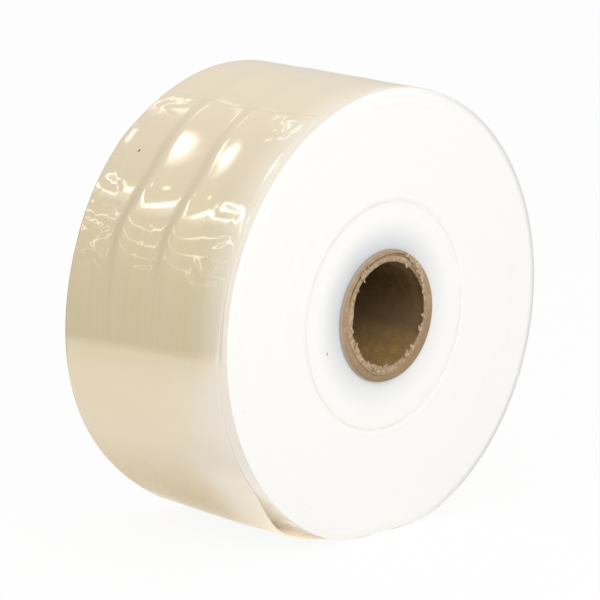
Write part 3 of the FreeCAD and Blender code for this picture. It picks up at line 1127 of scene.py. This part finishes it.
# Round the mouth, every 20 degrees from the top: how far the torn rim has drawn back from the axis
# and how far the split has moved out, in mm, how deep the tear is, how open the split is, and how
# fresh the fibres look.
rim_drawn = (2.5, 2.1, 2.4, 1.6, -1.0, 0.3, -2.1, -0.4, -2.0,
             -0.2, -0.6, -0.5, 0.4, 0.9, 1.2, 1.2, 2.1, 2.2)
split_out = (2.0, 2.2, 2.4, 2.4, 1.2, 1.8, 0.4, 0.0, 1.0,
             0.5, 0.2, 0.0, 0.0, 0.0, 0.2, 1.0, 2.4, 2.4)
tear_share = (1.0, 1.0, 1.0, 1.0, 1.0, 1.0, 1.0, 1.0, 1.0,
              0.9, 0.6, 0.4, 0.3, 0.3, 0.3, 0.4, 0.6, 0.9)
split_share = (0.35, 0.35, 0.3, 1.0, 0.5, 1.0, 0.6, 0.6, 0.6,
               0.2, 0.1, 0.1, 0.1, 0.1, 0.1, 0.2, 0.7, 0.9)
fresh_share = (0.9, 0.9, 1.0, 1.0, 1.0, 1.0, 1.0, 0.9, 1.0,
               0.8, 0.7, 0.5, 0.5, 0.5, 0.5, 0.5, 0.7, 0.8)


def round_mouth(shares, turn):
    """The value at a turn angle, from values that are given every 20 degrees."""
    ring = list(shares) + [shares[0]]
    return np.interp(np.mod(turn, 360.0), np.linspace(0, 360, len(ring)), ring)


print("at the right of the mouth the torn rim is drawn back by", round_mouth(rim_drawn, -90), "mm")

# %% [markdown]
# The values are laid on the core after it is swept: each point near an end moves out or in with the
# torn rim and the split, and its depth and its torn mark are scaled. The tree itself could read the
# values from a curve, but they are easier to follow as a table.

# %% Shape of the torn mouth
mouth_edge = bore_radius + torn_width       # where the torn rim meets the end face
mouth_depths = (3 * mm, 9 * mm)             # the mouth's shape dies out between these depths
rim_blend = 0.6 * mm
firm_radius = core_radius - 2.6 * mm        # the wall outside this radius stays as it is
split_opens = (mouth_edge, mouth_edge + 1.8 * mm)
split_closes = (core_radius - 4.6 * mm, firm_radius)
split_zone = (mouth_edge + 0.2 * mm, core_radius - 1.0 * mm)
shallow = torn_depth + 0.6 * mm             # only points this close to the end change their depth


def shape_mouth(mesh):
    """Moves a mesh's points near each torn mouth, so that the tear differs from side to side."""
    points = np.array([v.co for v in mesh.vertices])
    end = core_length / 2
    # The far end is the near end turned half round the upright axis.
    x = np.where(points[:, 1] > 0, -points[:, 0], points[:, 0])
    turn = np.degrees(np.arctan2(-x, points[:, 2]))
    radius = np.hypot(points[:, 0], points[:, 2])
    behind = end - np.abs(points[:, 1])
    near_end = 1 - ramp(behind, *mouth_depths)
    inner = 1 - ramp(radius, mouth_edge + rim_blend, firm_radius)
    drawn = round_mouth(rim_drawn, turn) * mm * near_end * inner
    spread = round_mouth(split_out, turn) * mm
    at_split = ramp(radius, *split_opens) * (1 - ramp(radius, *split_closes))
    moved = radius + drawn + (spread - drawn) * at_split * near_end
    in_split = (radius > split_zone[0]) & (radius < split_zone[1])
    share = np.where(in_split, round_mouth(split_share, turn), round_mouth(tear_share, turn))
    points[:, 0] *= moved / radius
    points[:, 2] *= moved / radius
    depth = np.where(behind < shallow, behind * share, behind)
    points[:, 1] = np.sign(points[:, 1]) * (end - depth)
    mesh.vertices.foreach_set("co", points.ravel())
    torn = mesh.attributes.get("torn")
    if torn:
        marks = np.zeros(len(points))
        torn.data.foreach_get("value", marks)
        torn.data.foreach_set("value", marks * round_mouth(fresh_share, turn))
    mesh.update()


print("edge of the mouth and start of the firm wall, mm", in_mm(mouth_edge, firm_radius))

# %% [markdown]
# The core's section has the split and the torn edge as points that are marked as torn, and the
# sweep tree makes them wander. It runs from the worn outer rim over the end face and the split to
# the torn lip, and on down the bore. The other end is its mirror image.

# %% Cardboard core
lip_width = 1.9 * mm
lip_depth = 0.1 * mm
split_width = 0.8 * mm
split_depth = 1.5 * mm
rim_round = 2.4 * mm
bevel_share, round_share = 0.7, 0.3     # the worn outer rim lies between a bevel and a round
core_tear = 1.6 * mm
core_steps = 420
low_rest = 1.0                          # so low that the core stays round


def worn_rim(end):
    points = []
    for share in np.linspace(0, 1, 7):
        angle = share * math.pi / 2
        back = bevel_share * (1 - share) + round_share * (1 - math.sin(angle))
        down = bevel_share * share + round_share * (1 - math.cos(angle))
        points.append((-end + rim_round * back, core_radius - rim_round * down))
    return points


def half_section(end):
    """The near end's section, from the outside into the bore, and the torn mark of each point."""
    split = mouth_edge + lip_width
    outer = worn_rim(end)
    flat = [(-end, r) for r in np.linspace(core_radius - rim_round, split + split_width, 7)[1:]]
    gap = [(-end + split_depth, split + share * split_width) for share in (0.6, 0.4)]
    lip = [(-end + lip_depth, r) for r in np.linspace(split, mouth_edge, 8)]
    tear = [(-end + torn_depth * t, mouth_edge - torn_width * t)
            for t in np.linspace(0, 1, 10)[1:]]
    wall = [(-end + torn_depth + behind * mm, bore_radius) for behind in (0.4, 0.8, 1.3, 2.0)]
    wall += [(y, bore_radius) for y in np.linspace(-end + torn_depth, 0, 24)[1:]]
    half = outer + flat + gap + lip + tear + wall
    marks = [0.0] * (len(outer) + len(flat) - 1) + [0.15, 0.3, 0.4]
    marks += list(np.linspace(0.45, 0.9, len(lip))) + [1.0] * len(tear) + [0.8, 0.5, 0.2]
    return half, marks + [0.0] * (len(half) - len(marks))


def core_tube():
    end = core_length / 2
    half, marks = half_section(end)
    other = [(-y, r) for y, r in reversed(half[:-1])]
    outside = [(y, core_radius) for y in np.linspace(end - rim_round, -end + rim_round, 20)[1:-1]]
    torn = marks + marks[:-1][::-1] + [0.0] * len(outside)
    section = section_object("core_section", half + other + outside, torn)
    made = run_tree(section, sweep_round, "core_tube", Steps=core_steps, Rest_Height=low_rest,
                    Outside_Radius=core_radius, Tear=core_tear, Seed=4.0, Material=cardboard)
    shape_mouth(made.data)
    return outward(made)


core = core_tube()
describe(core)

# %% [markdown]
# Torn board leaves flakes: small tongues of paper that taper and curl. One flake is a short closed
# strip, made in mesh code from a few stations along its length.

# %% One flake of torn board
flake_stations = 10
flake_taper = 0.65
flake_thinning = 0.6


def flake_mesh(name, length, width, thickness, curl, ragged=0.0, rng=None):
    """A closed strip along +X that tapers to its tip and curls up along +Z. ragged is the share of
    its half width by which its outline wanders."""
    points = []
    for t in np.linspace(0, 1, flake_stations):
        half = width / 2 * (1 - flake_taper * t**3)
        lift = curl * t * t
        edge = [1 + (rng.uniform(-ragged, ragged) if rng else 0) for side in range(2)]
        for side, level in ((-1, 0), (1, 0), (1, 1), (-1, 1)):
            reach = side * half * edge[side > 0]
            height = lift + level * thickness * (1 - flake_thinning * t)
            points.append((length * t, reach, height))
    last = len(points)
    faces = [(0, 1, 2, 3), (last - 1, last - 2, last - 3, last - 4)]
    for k in range(flake_stations - 1):
        for j in range(4):
            a, b = 4 * k + j, 4 * k + (j + 1) % 4
            faces.append((a, a + 4, b + 4, b))
    mesh = bpy.data.meshes.new(name)
    mesh.from_pydata(points, [], faces)
    return mesh


small_flake = flake_mesh("one_flake", 1.9 * mm, 0.8 * mm, 0.2 * mm, 0.5 * mm)
print("one flake:", len(small_flake.polygons), "faces")

# %% [markdown]
# A geometry tree strews a few dozen small flakes round the torn edge, each turned and scaled at
# random. A flake starts with its tip towards the axis and its top towards the viewer's end.

# %% Geometry tree that strews flakes
def strew_tree():
    tree, given = new_geometry_tree("strew_flakes", {
        "Count": 60, "Seed": 0, "Inner Radius": 1.0, "Outer Radius": 1.0, "Place": 0.0})
    seeds = [tree.maths("ADD", given["Seed"], float(k)) for k in range(7)]
    turn = tree.random(0.0, full_turn, seeds[0])
    radius = tree.random(given["Inner Radius"], given["Outer Radius"], seeds[1])
    y = tree.maths("ADD", given["Place"], tree.random(-0.3 * mm, 0.5 * mm, seeds[2]))
    place = tree.vector(tree.times(tree.maths("SINE", turn), radius, -1.0), y,
                        tree.times(tree.maths("COSINE", turn), radius))
    inputs = {"Count": given["Count"], "Position": place}
    points = tree.add("GeometryNodePoints", inputs).outputs[0]
    inwards = tree.less(math.pi / 2, turn)
    swing = tree.maths("ADD", inwards, tree.random(-1.5, 1.5, seeds[3]))
    roll = tree.random(math.radians(50), math.radians(130), seeds[4])
    pitch = tree.random(-0.4, 0.4, seeds[5])
    inputs = {"Points": points, "Instance": given["Geometry"],
              "Rotation": tree.vector(roll, swing, pitch),
              "Scale": tree.random(0.45, 1.3, seeds[6])}
    copies = tree.add("GeometryNodeInstanceOnPoints", inputs).outputs[0]
    return end_geometry_tree(tree, copies, given["Material"])


strew_flakes = strew_tree()
print("geometry tree", strew_flakes.name, "with", len(strew_flakes.nodes), "nodes")

# %% [markdown]
# The larger flakes catch the eye, so they are placed one by one, where the board tore most.

# %% Large flakes
# Each large flake: turn angle and radius of its root, how far it lies behind the end, its length,
# width, curl, direction in degrees (0 points at the axis and 90 round the core), and lift.
large_flakes = [
    (-98, 40.2, 0.4, 5.4, 2.8, 0.9, 10, 4),
    (-107, 40.0, 0.6, 3.4, 1.8, 0.5, -20, 2),
    (-114, 39.8, 0.3, 7.4, 3.8, 1.2, 14, 6),
    (-124, 39.6, 0.6, 3.0, 1.4, 0.6, -26, 4),
    (-136, 39.4, 0.3, 6.4, 3.2, 1.0, -8, 6),
    (-149, 39.6, 0.2, 7.4, 4.2, 1.3, 6, 10),
    (-160, 39.2, 0.6, 2.8, 1.4, 0.6, -20, 6),
    (174, 38.8, 0.6, 4.6, 3.2, 0.9, 12, 16),
    (162, 41.6, -0.2, 4.0, 3.2, 1.3, 30, 26),
    (157, 40.8, -0.1, 3.6, 2.6, 1.0, -60, 22),
    (167, 40.2, 0.1, 3.4, 2.8, 0.9, 80, 18),
    (-28, 41.4, 0.6, 4.0, 3.0, 0.9, 10, 14),
    (-20, 47.4, -0.5, 5.6, 3.0, 0.5, -76, 4),
    (-27, 46.2, -0.6, 7.0, 4.4, 0.5, -80, 4),
    (-35, 45.0, -0.6, 7.0, 5.0, 0.5, -82, 4),
    (-44, 43.8, -0.5, 6.5, 4.6, 0.6, -78, 5),
    (-53, 42.8, -0.4, 6.0, 3.8, 0.6, -72, 6),
    (-62, 41.8, -0.1, 5.4, 3.0, 0.6, -50, 6),
    (-70, 41.0, 0.2, 4.2, 2.2, 0.7, -10, 8),
    (-80, 40.6, 0.5, 3.0, 1.2, 0.7, 24, 6),
    (-88, 40.4, 0.6, 3.0, 1.6, 0.5, -30, 6),
    (38, 47.6, -0.3, 5.2, 2.6, 0.8, 60, 6),
    (34, 46.0, -0.3, 5.0, 2.2, 1.0, 130, 12),
    (30, 46.0, -0.3, 4.0, 1.8, 1.1, 165, 18),
    (41, 42.6, 0.0, 2.8, 1.4, 0.6, 30, 10),
    (92, 41.0, 0.2, 5.0, 2.2, 0.5, 74, 6),
    (118, 40.2, 0.3, 5.4, 2.6, 0.6, -60, 8),
    (131, 40.2, 0.4, 4.4, 1.8, 0.8, 70, 10),
    (146, 39.8, 0.5, 3.8, 2.0, 0.6, -40, 10),
]
large_thickness = 0.3 * mm
large_ragged = 0.4
near_mouth = -core_length / 2


def place_large_flakes(work):
    rng = np.random.default_rng(7)
    for turn, root, behind, length, width, curl, swing, lift in large_flakes:
        mesh = flake_mesh("flake", length * mm, width * mm, large_thickness, curl * mm,
                          large_ragged, rng)
        centre = at(turn, root * mm, near_mouth + behind * mm)
        turned = Matrix.Rotation(math.radians(90 - turn + swing), 4, "Y")
        turned = turned @ Matrix.Rotation(math.pi / 2, 4, "X")
        turned = Matrix.Translation(Vector(centre)) @ turned
        mesh.transform(turned @ Matrix.Rotation(math.radians(-lift), 4, "Y"))
        work.from_mesh(mesh)
        bpy.data.meshes.remove(mesh)


print(len(large_flakes), "large flakes, the longest of", max(row[3] for row in large_flakes), "mm")

# %% [markdown]
# The large and the small flakes are joined in one mesh, and the far end has the same flakes, turned
# half round the upright axis. The torn mark tells the cardboard's finish which flakes are large.

# %% Torn flakes round the core's mouth
large_mark = 1.5
small_count = 36
small_ring = (bore_radius + 1.4 * mm, bore_radius + 4.0 * mm)
small_behind = 0.4 * mm


def strew_small_flakes(work):
    source = plain_object("one_flake", small_flake)
    small = run_tree(source, strew_flakes, "small_flakes", Count=small_count, Seed=17,
                     Inner_Radius=small_ring[0], Outer_Radius=small_ring[1],
                     Place=near_mouth + small_behind, Material=cardboard)
    shape_mouth(small.data)
    work.from_mesh(small.data)
    bpy.data.objects.remove(small)


def core_flakes():
    work = bmesh.new()
    place_large_flakes(work)
    large_count = len(work.verts)
    strew_small_flakes(work)
    copy = bmesh.ops.duplicate(work, geom=list(work.verts) + list(work.edges) + list(work.faces))
    moved = [v for v in copy["geom"] if isinstance(v, bmesh.types.BMVert)]
    bmesh.ops.rotate(work, verts=moved, cent=(0, 0, 0), matrix=Matrix.Rotation(math.pi, 3, "Z"))
    mesh = bpy.data.meshes.new("core_flakes")
    work.to_mesh(mesh)
    work.free()
    made = outward(plain_object("core_flakes", mesh), smooth=False)
    marks = np.ones((2, len(mesh.vertices) // 2))
    marks[:, :large_count] = large_mark
    torn = mesh.attributes.new("torn", "FLOAT", "POINT")
    torn.data.foreach_set("value", marks.ravel())
    mesh.materials.append(cardboard)
    return made


flakes = core_flakes()
describe(flakes)

# %% [markdown]
# A few specks of dirt stick to the roll, and a white bead on the film is a painted glint. Each is a
# tiny flattened bead that is half sunk in the surface, with a plain finish of two tones.

# %% Specks
speck_tones = {
    "dirt_dark": (colour(112, 72, 40), 0.7),
    # Painted glint: a white bead stands in for a small highlight on the film.
    "painted_glint": (colour(252, 250, 244), 0.2),
    "dirt_light": (colour(158, 112, 82), 0.7),
    "dirt_grey": (colour(226, 224, 220), 0.7),
}
# On the film: turn angle, place from the near end, lean along the roll, and length, width and
# height in mm. On the end face: turn angle, radius, and the same sizes.
film_specks = {"dirt_dark": (44.4, 136.1, 0.5, (2.8, 1.4, 0.5)),
               "painted_glint": (78.3, 18.0, 0.2, (1.8, 1.2, 0.7))}
end_specks = {"dirt_light": (106.7, 64.4, (2.6, 1.0, 0.4)),
              "dirt_grey": (107.0, 155.7, (0.9, 0.7, 0.2))}


def make_plain(name, tone, roughness):
    material, tree, shader = new_material(name)
    patches = tree.noise(tree.place(), 2500.0)
    darker = [0.7 * x for x in tone[:3]] + [1.0]
    tree.set(shader, {"Base Color": tree.mix(patches, darker, tone), "Roughness": roughness})
    return material


def bead(work, centre, outwards, along, sizes, index):
    """Adds a flattened bead to a mesh. sizes are its length, width and height in mm."""
    across = outwards.cross(along).normalized()
    along = across.cross(outwards)
    place = Matrix.Translation(centre) @ Matrix((along, across, outwards)).transposed().to_4x4()
    stretch = Matrix.Diagonal([x * mm / 2 for x in sizes] + [1.0])
    made = bmesh.ops.create_icosphere(work, subdivisions=2, radius=1.0, matrix=place @ stretch)
    for face in {f for v in made["verts"] for f in v.link_faces}:
        face.material_index = index
        face.smooth = True


def specks():
    work = bmesh.new()
    slots = {name: index for index, name in enumerate(speck_tones)}
    for name, (turn, place, lean, sizes) in film_specks.items():
        across = (place * mm - loose_drift(turn, 0.5)) / film_width
        centre = Vector(at(turn, loose_outer(turn, across), near_face + place * mm).tolist())
        outwards = Vector((centre.x, 0, centre.z)).normalized()
        round_way = Vector((-outwards.z, lean, outwards.x))
        bead(work, centre, outwards, round_way, sizes, slots[name])
    for name, (turn, radius, sizes) in end_specks.items():
        centre = Vector(at(turn, radius * mm, near_face + slip(radius * mm)).tolist())
        bead(work, centre, Vector((0, -1, 0)), Vector((0.1, 0, 1)), sizes, slots[name])
    mesh = bpy.data.meshes.new("specks")
    work.to_mesh(mesh)
    work.free()
    for name, look in speck_tones.items():
        mesh.materials.append(make_plain(name, *look))
    return plain_object("specks", mesh)


dirt = specks()
describe(dirt)

# %% [markdown]
# The roll lies on a pale floor that is nearly white to the camera and keeps the roll's soft shadow.
# Part of its light is its own, and only for rays that see it directly, so that it stays white
# without lighting the roll from below.

# %% Floor
square = ((-1, -1), (1, -1), (1, 1), (-1, 1))
floor_half = 6.0
floor_glow = 0.92


def direct_rays(tree):
    """The kinds of ray, and 1 for rays that come from the camera, a mirror or clear film."""
    path = tree.add("ShaderNodeLightPath").outputs
    seen = tree.maths("MAXIMUM", path["Is Camera Ray"], path["Is Glossy Ray"])
    return path, tree.maths("MAXIMUM", seen, path["Is Transmission Ray"])


def make_floor():
    mesh = bpy.data.meshes.new("floor")
    corners = [(x * floor_half, y * floor_half, ground) for x, y in square]
    mesh.from_pydata(corners, [], [(0, 1, 2, 3)])
    material, tree, shader = new_material("floor_white")
    tree.set(shader, {"Base Color": colour(248, 248, 248), "Roughness": 0.9})
    path, seen = direct_rays(tree)
    # Painted shade: under the roll's overhang the floor that the film mirrors is painted a darker
    # warm tint, for a floor that is shaded and warmed by the film.
    reach = tree.maths("ABSOLUTE", tree.parts(tree.place())["X"])
    painted_shade_under_roll = tree.times(path["Is Glossy Ray"], tree.span(reach, roll_radius, 0.5 * roll_radius))
    tint = tree.mix(painted_shade_under_roll, colour(255, 255, 255), colour(240, 230, 208))
    glow = tree.add("ShaderNodeEmission", {"Color": tint, "Strength": 1.0})
    share = tree.times(seen, floor_glow)
    tree.show(tree.add("ShaderNodeMixShader", {0: share, 1: shader.outputs[0],
                                               2: glow.outputs[0]}))
    mesh.materials.append(material)
    return plain_object("floor", mesh)


floor = make_floor()
print("floor at", in_mm(ground), "mm")

# %% [markdown]
# The surround is even and white. The camera and the mirrors see it at full white, and the matt
# surfaces get a little less. One large soft lamp at the front gives the light a direction.

# %% Surround and lamp
surround_light = 0.765
lamp_distance = 2.2


def make_surround(strength):
    world = bpy.data.worlds.new("surround")
    bpy.context.scene.world = world
    world.use_nodes = True
    world.node_tree.nodes.clear()
    tree = Tree(world.node_tree)
    level = tree.span(direct_rays(tree)[1], 0.0, 1.0, strength, 1.0, smooth=False)
    sky = tree.add("ShaderNodeBackground", {"Color": (1, 1, 1, 1), "Strength": level})
    tree.add("ShaderNodeOutputWorld", {"Surface": sky.outputs[0]})


def soft_lamp(name, azimuth, elevation, size, power):
    """A square area lamp that aims at the roll, seen by matt surfaces only."""
    data = bpy.data.lights.new(name, "AREA")
    data.shape = "SQUARE"
    data.size = size
    data.energy = power
    lamp = bpy.data.objects.new(name, data)
    bpy.context.scene.collection.objects.link(lamp)
    lamp.location = direction(azimuth, elevation) * lamp_distance
    lamp.rotation_mode = "QUATERNION"
    lamp.rotation_quaternion = direction(azimuth, elevation).to_track_quat("Z", "Y")
    lamp.visible_camera = False
    lamp.visible_glossy = False
    return lamp


make_surround(surround_light)
front_lamp = soft_lamp("front_lamp", -25.0, 40.0, 1.4, 15.0)
print("surround made, and a lamp of", front_lamp.data.energy, "watts")

# %% [markdown]
# Glossy film mirrors the room: the white table that the roll lies on ends some way behind it, and
# beyond its edge lies a darker room. The room's finish glows by itself, and how much depends on the
# height, on the distance beyond the table's edge and on the bearing.

# %% Finish of the dim room
table_edge = 0.22
table_slant = 0.38              # the table's far edge runs a little away to the right
slant_middle = -0.51
slant_reach = 0.25
room_radius = 3.4


def dim_wall():
    """The room's finish: dark low down, lighter higher up and where the surround begins."""
    material, tree, _ = new_material("dim_room_wall")
    place = tree.place()
    parts = tree.parts(place)
    level = tree.span(parts["Z"], 0.0, 0.75 * room_radius, 0.08, 0.62, smooth=False)
    # The table's far edge is soft and not quite straight.
    edge = tree.span(parts["X"], slant_middle - slant_reach, slant_middle + slant_reach,
                     table_edge - slant_reach * table_slant,
                     table_edge + slant_reach * table_slant, smooth=False)
    waver = tree.span(tree.noise(place, 7.0), 0.3, 0.7, 0.0, 0.06)
    beyond = tree.less(parts["Y"], tree.maths("ADD", edge, waver))
    level = tree.span(beyond, 0.0, 0.14, 1.0, level)
    # The wall meets the bright surround softly, where it ends on the far right.
    bearing = tree.maths("DEGREES", tree.maths("ARCTAN2", parts["X"], parts["Y"]))
    side = tree.maths("ADD", tree.span(bearing, -10.0, 38.0, 0.0, 0.72),
                      tree.span(bearing, 58.0, 76.0, 0.0, 0.28))
    level = tree.maths("ADD", level, tree.times(side, tree.less(1.0, level)))
    tree.show(tree.add("ShaderNodeEmission", {"Color": colour(255, 246, 232),
                                              "Strength": level}))
    return material


room_wall = dim_wall()
print("material", room_wall.name)

# %% [markdown]
# The room is one sheet: its floor beyond the table's edge, and a wall that curves up behind it.
# Only reflections see it, so the soft light on the matt surfaces stays as it is.

# %% Dim room that only reflections see
table_reach = 0.9               # share of the room's radius that the table's edge spans


def only_reflected(card):
    card.visible_camera = False
    card.visible_diffuse = False
    card.visible_transmission = False
    card.visible_shadow = False
    return card


def edge_at(x):
    return table_edge + table_slant * min(max(x - slant_middle, -slant_reach), slant_reach)


def dim_room():
    bearings = [math.radians(b) for b in np.linspace(104, 286, 53)]
    low = ground + mm
    table_side = [math.sin(b) * room_radius * table_reach for b in bearings]
    points = [(x, edge_at(x), low) for x in table_side]
    rises = [math.radians(e) for e in range(0, 76, 5)]
    rows = [(room_radius, low)]
    rows += [(room_radius * math.cos(e), room_radius * math.sin(e)) for e in rises]
    for reach, height in rows:
        for bearing in bearings:
            x, y = math.sin(bearing) * reach, -math.cos(bearing) * reach
            points.append((x, max(y, edge_at(x)), height))
    count = len(bearings)
    faces = [(r * count + k, r * count + k + 1, (r + 1) * count + k + 1, (r + 1) * count + k)
             for r in range(len(rows)) for k in range(count - 1)]
    mesh = bpy.data.meshes.new("dim_room")
    mesh.from_pydata(points, [], faces)
    mesh.materials.append(room_wall)
    return only_reflected(plain_object("dim_room", mesh))


room = dim_room()
print("dim room:", len(room.data.polygons), "faces")

# %% [markdown]
# The lamps of the room show in the film as long bright streaks. Each is a glowing card with soft
# edges, far off in the direction that its reflection asks for. Real lamps would light the matt
# surfaces too, and the soft light on those is set already.

# %% Glowing cards that only reflections see
card_distance = 3.0
white_light = (1.0, 0.95, 0.85, 1.0)
warm_light = (1.0, 0.86, 0.5, 1.0)
# Each card: azimuth, elevation, width and height in degrees, strength, tint, and the share of it
# over which its edges fade.
cards = {
    "long_lamp": (-137, 36.2, 32, 3.0, 6.0, white_light, 0.8),
    "long_lamp_skirt": (-137, 34.0, 33, 6.0, 0.9, white_light, 1.0),
    "high_lamp": (-159, 56.5, 19, 9, 7.5, white_light, 1.0),
    "high_lamp_skirt": (-152, 53, 22, 8, 2.2, white_light, 1.0),
    "small_lamp": (-138.5, 42.4, 4, 2, 7.0, warm_light, 1.0),
    "back_lamp": (163, 46, 14, 5, 2.0, white_light, 1.0),
    "low_strip": (-136, 26.8, 34, 1.0, 3.6, white_light, 0.8),
    "lower_strip": (-136, 20.2, 34, 0.9, 3.0, white_light, 0.8),
    "lowest_strip": (-136, 14.0, 30, 0.8, 2.2, white_light, 0.8),
}


def card_glow(name, strength, tint, softness):
    material, tree, _ = new_material(name + "_glow")
    parts = tree.parts(tree.add("ShaderNodeUVMap", uv_map="card").outputs[0])
    level = strength
    for axis in ("X", "Y"):
        off_centre = tree.maths("ABSOLUTE", tree.less(parts[axis], 0.5))
        level = tree.times(level, tree.span(off_centre, 0.5, 0.5 - 0.5 * softness))
    glow = tree.add("ShaderNodeEmission", {"Color": tint, "Strength": level})
    clear = tree.add("ShaderNodeBsdfTransparent")
    tree.show(tree.add("ShaderNodeAddShader", {0: clear.outputs[0], 1: glow.outputs[0]}))
    return material


def reflected_card(name, azimuth, elevation, width, height, strength, tint, softness):
    half_width = card_distance * math.tan(math.radians(width / 2))
    half_height = card_distance * math.tan(math.radians(height / 2))
    to_card = direction(azimuth, elevation)
    side = Vector((0, 0, 1)).cross(to_card).normalized()
    up = to_card.cross(side)
    centre = to_card * card_distance
    corners = [centre + side * (half_width * s) + up * (half_height * t) for s, t in square]
    mesh = bpy.data.meshes.new(name)
    mesh.from_pydata(corners, [], [(0, 1, 2, 3)])
    mesh.uv_layers.new(name="card").data.foreach_set("uv", [0, 0, 1, 0, 1, 1, 0, 1])
    mesh.materials.append(card_glow(name, strength, tint, softness))
    return only_reflected(plain_object(name, mesh))


for name, values in cards.items():
    reflected_card(name, *values)
print("cards:", *cards)

# %% [markdown]
# Each finished piece rides on the packed model's one body. It stands for the packed body that it
# dresses, and that body is hidden.

# %% Put the pieces in place of the packed bodies
for piece, node, finish in ((tight, "film_roll", "film"), (upper, "film_roll", "film"),
                            (loose, "film_roll", "film"), (core, "cardboard_core", "cardboard"),
                            (flakes, "cardboard_core", "cardboard"), (dirt, "film_roll", "film")):
    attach(piece, "root")
    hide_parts(node)
    print(piece.name, "stands for", node)

# %% [markdown]
